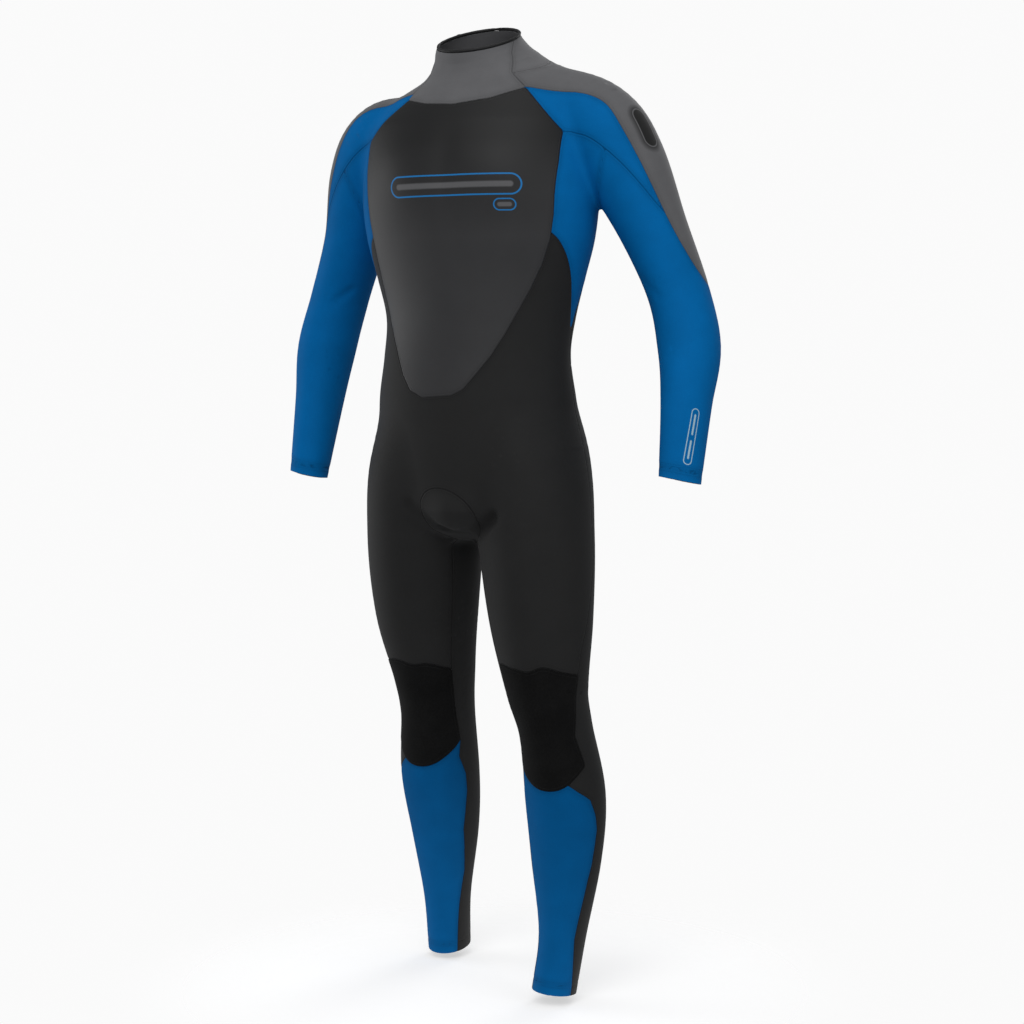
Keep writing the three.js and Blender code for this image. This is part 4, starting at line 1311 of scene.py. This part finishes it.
ZIP_RADIUS = 1.5
ZIP_CENTRE = (0.114 - ZIP_RADIUS, 1.180)
ZIP_RANGE = (0.950, 1.350)
TAPE_RADIUS = ZIP_RADIUS - 0.0015
TEETH_RADIUS = (ZIP_RADIUS - 0.0006, ZIP_RADIUS + 0.0018)
TOOTH_PITCH = 0.0030
TAPE = (0.0008, 0.0158, 0.0006)  # from and to, out from the middle, half thickness
SLIDER_GAP = (1.336, 0.0125)  # no teeth show this near the slider
FLAP_HALF = 0.028
# A tooth's outline: out from the middle in metres, and along the zip in pitches.
TOOTH = [(-0.0022, 0.3), (-0.0014, 0.48), (0.0006, 0.30), (0.0044, 0.42), (0.0044, -0.42),
         (0.0006, -0.30), (-0.0014, -0.48), (-0.0022, -0.3)]


def zip_place(x, radius, height):
    angle = math.asin((height - ZIP_CENTRE[1]) / ZIP_RADIUS)
    return vec(x, ZIP_CENTRE[0] + radius * math.cos(angle), ZIP_CENTRE[1] + radius * math.sin(angle))


def rounded_strip(x0, x1, inner, outer, low, high, steps, corner=0.0):
    """A strip with round edges along the zip's arc, narrowing at its ends where it has round corners."""
    middle, half = (x0 + x1) / 2, (x1 - x0) / 2
    thick = (outer - inner) / 2
    rings = []
    for i in range(steps + 1):
        height = low + (high - low) * i / steps
        end = min(height - low, high - height)
        narrow = 0.0
        if corner and end < corner:
            narrow = corner - math.sqrt(corner ** 2 - (corner - end) ** 2)
        width = max(half - narrow, half * 0.2)
        ring = []
        for j in range(12):
            turn = 2 * math.pi * (j + 0.5) / 12
            side, up = math.cos(turn), math.sin(turn)
            x = middle + math.copysign(width - thick, side) + thick * side
            ring.append(zip_place(x, (inner + outer) / 2 + thick * up, height))
        rings.append(np.array(ring))
    return loft(rings)


def make_zip():
    low, high = ZIP_RANGE
    for letter, side in SIDES.items():
        start, end, half = TAPE
        x0, x1 = sorted((side * start, side * end))
        verts, faces = rounded_strip(x0, x1, TAPE_RADIUS - half, TAPE_RADIUS + half, low - 0.004,
                                     high + 0.003, 90)
        solid_piece("zip_woven_tape_" + letter, verts, faces, "black_jersey", "torso",
                    replaces=["zip_tape_" + letter])
        verts, faces = [], []
        count = int((high - low - 0.009) / TOOTH_PITCH)
        for i in range(count):
            height = low + 0.004 + (i + (0.5 if side > 0 else 0.0)) * TOOTH_PITCH
            if abs(height - SLIDER_GAP[0]) < SLIDER_GAP[1]:
                continue
            base = len(verts)
            for radius, shrink in ((TEETH_RADIUS[0], 1.0), (TEETH_RADIUS[1] - 0.0005, 1.0),
                                   (TEETH_RADIUS[1], 0.6)):
                for reach, up in TOOTH:
                    x = side * ((reach - 0.001) * shrink + 0.0020)
                    verts.append(zip_place(x, radius, height + up * shrink * TOOTH_PITCH * 0.85))
            n = len(TOOTH)
            turn = 1 if side > 0 else -1
            for layer in range(2):
                a, b = base + layer * n, base + (layer + 1) * n
                for j in range(n):
                    k = (j + 1) % n
                    faces.append((a + j, a + k, b + k, b + j)[::turn])
            faces.append(tuple(base + j for j in range(n))[::-turn])
            faces.append(tuple(base + 2 * n + j for j in range(n))[::turn])
        solid_piece("zip_moulded_teeth_" + letter, verts, faces, "zip_plastic", "torso", smooth=False,
                    replaces=["zip_teeth_" + letter])
    verts, faces = rounded_strip(-FLAP_HALF, FLAP_HALF, ZIP_RADIUS - 0.009, ZIP_RADIUS - 0.0065, low - 0.002,
                                 high - 0.008, 60, corner=0.012)
    solid_piece("zip_neoprene_flap", verts, faces, "black_jersey", "torso", replaces=["zip_backing_flap"])


def body_patch(x0, x1, z0, z1, inner, outer, rounding, edge=0.0012, across=44, up=22):
    """A pad lying over the back of the collar, between two distances from it."""
    s, t = np.meshgrid(np.linspace(-1, 1, across), np.linspace(-1, 1, up), indexing="ij")
    s, t = s.ravel(), t.ravel()
    u = s * np.sqrt(1 - rounding * t ** 4 / 2)
    v = t * np.sqrt(1 - rounding * s ** 4 / 2)
    x = (x0 + x1) / 2 + u * (x1 - x0) / 2
    z = (z0 + z1) / 2 + v * (z1 - z0) / 2
    y = np.full(len(x), 0.07)
    for _ in range(12):
        spots = np.stack([x, y, z], axis=1)
        gap = torso_distance(spots)
        ahead = torso_distance(spots + vec(0, PROBE, 0))
        y = y - np.clip(gap / np.maximum((ahead - gap) / PROBE, 0.15), -0.01, 0.01)
    spots = np.stack([x, y, z], axis=1)
    normals = unit_rows(gradient(torso_distance, spots)[1])
    inset = np.minimum((1 - np.abs(s)) * (x1 - x0) / 2, (1 - np.abs(t)) * (z1 - z0) / 2)
    rise = np.clip(inset / edge, 0, 1)
    rise = 0.35 + 0.65 * np.sqrt(1 - (1 - rise) ** 2)
    middle = (inner + outer) / 2
    top = spots + normals * (middle + (outer - middle) * rise)[:, None]
    foot = spots + normals * (middle - (middle - inner) * rise)[:, None]
    grid = np.arange(across * up).reshape(across, up)
    a, b = grid[:-1, :-1].ravel(), grid[1:, :-1].ravel()
    c, d = grid[1:, 1:].ravel(), grid[:-1, 1:].ravel()
    n = across * up
    faces = np.stack([a, d, c, b], 1).tolist() + np.stack([a + n, b + n, c + n, d + n], 1).tolist()
    loop = np.concatenate([grid[:-1, 0], grid[-1, :-1], grid[:0:-1, -1], grid[0, :0:-1]])
    nxt = np.roll(loop, -1)
    faces += np.stack([loop, nxt, nxt + n, loop + n], 1).tolist()
    seam = np.abs(inset - 0.0032) + 0.0012
    return np.vstack([top, foot]), faces, np.concatenate([seam, seam])


# Across from and to, up from and to, nearest and furthest from the collar, how round the corners are.
TAB = (-0.057, 0.0265, 1.399, 1.433, 0.0030, 0.0055, 0.45)
HOOK_STRIP = (-0.048, -0.016, 1.402, 1.422, 0.0018, 0.0026, 0.5)
LOOP_STRIP = (-0.050, -0.014, 1.400, 1.424, 0.0004, 0.0014, 0.5)


def make_collar_tab():
    verts, faces, seam = body_patch(*TAB)
    tab = solid_piece("collar_closing_tab", verts, faces, "black_jersey", "collar_tab",
                      replaces=["collar_tab"])
    tab.data.attributes["seam"].data.foreach_set("value", seam.astype(np.float32))
    verts, faces, _ = body_patch(*HOOK_STRIP, edge=0.0006)
    solid_piece("collar_hook_strip", verts, faces, "hook_loop", "collar_tab", replaces=["collar_hook_patch"])
    verts, faces, _ = body_patch(*LOOP_STRIP, edge=0.0006)
    solid_piece("collar_loop_strip", verts, faces, "hook_loop", "torso", replaces=["collar_loop_patch"])


def finish_hardware():
    """The slider, its pull and the stop are moulded and cast parts with softened edges."""
    finishes = {"zip_slider": "zip_metal", "zip_pull": "trim_rubber", "zip_bottom_stop": "zip_metal"}
    for name, slot in finishes.items():
        node = bpy.data.objects[name]
        node.data.materials.clear()
        node.data.materials.append(MATERIALS[slot])
        bevel = node.modifiers.new("soft_edges", "BEVEL")
        bevel.width = 0.0004
        bevel.segments = 3
        bevel.limit_method = "ANGLE"


make_camera()
make_lamps()
make_world()
make_floor()
make_suit()
make_binding()
make_zip()
make_collar_tab()
finish_hardware()
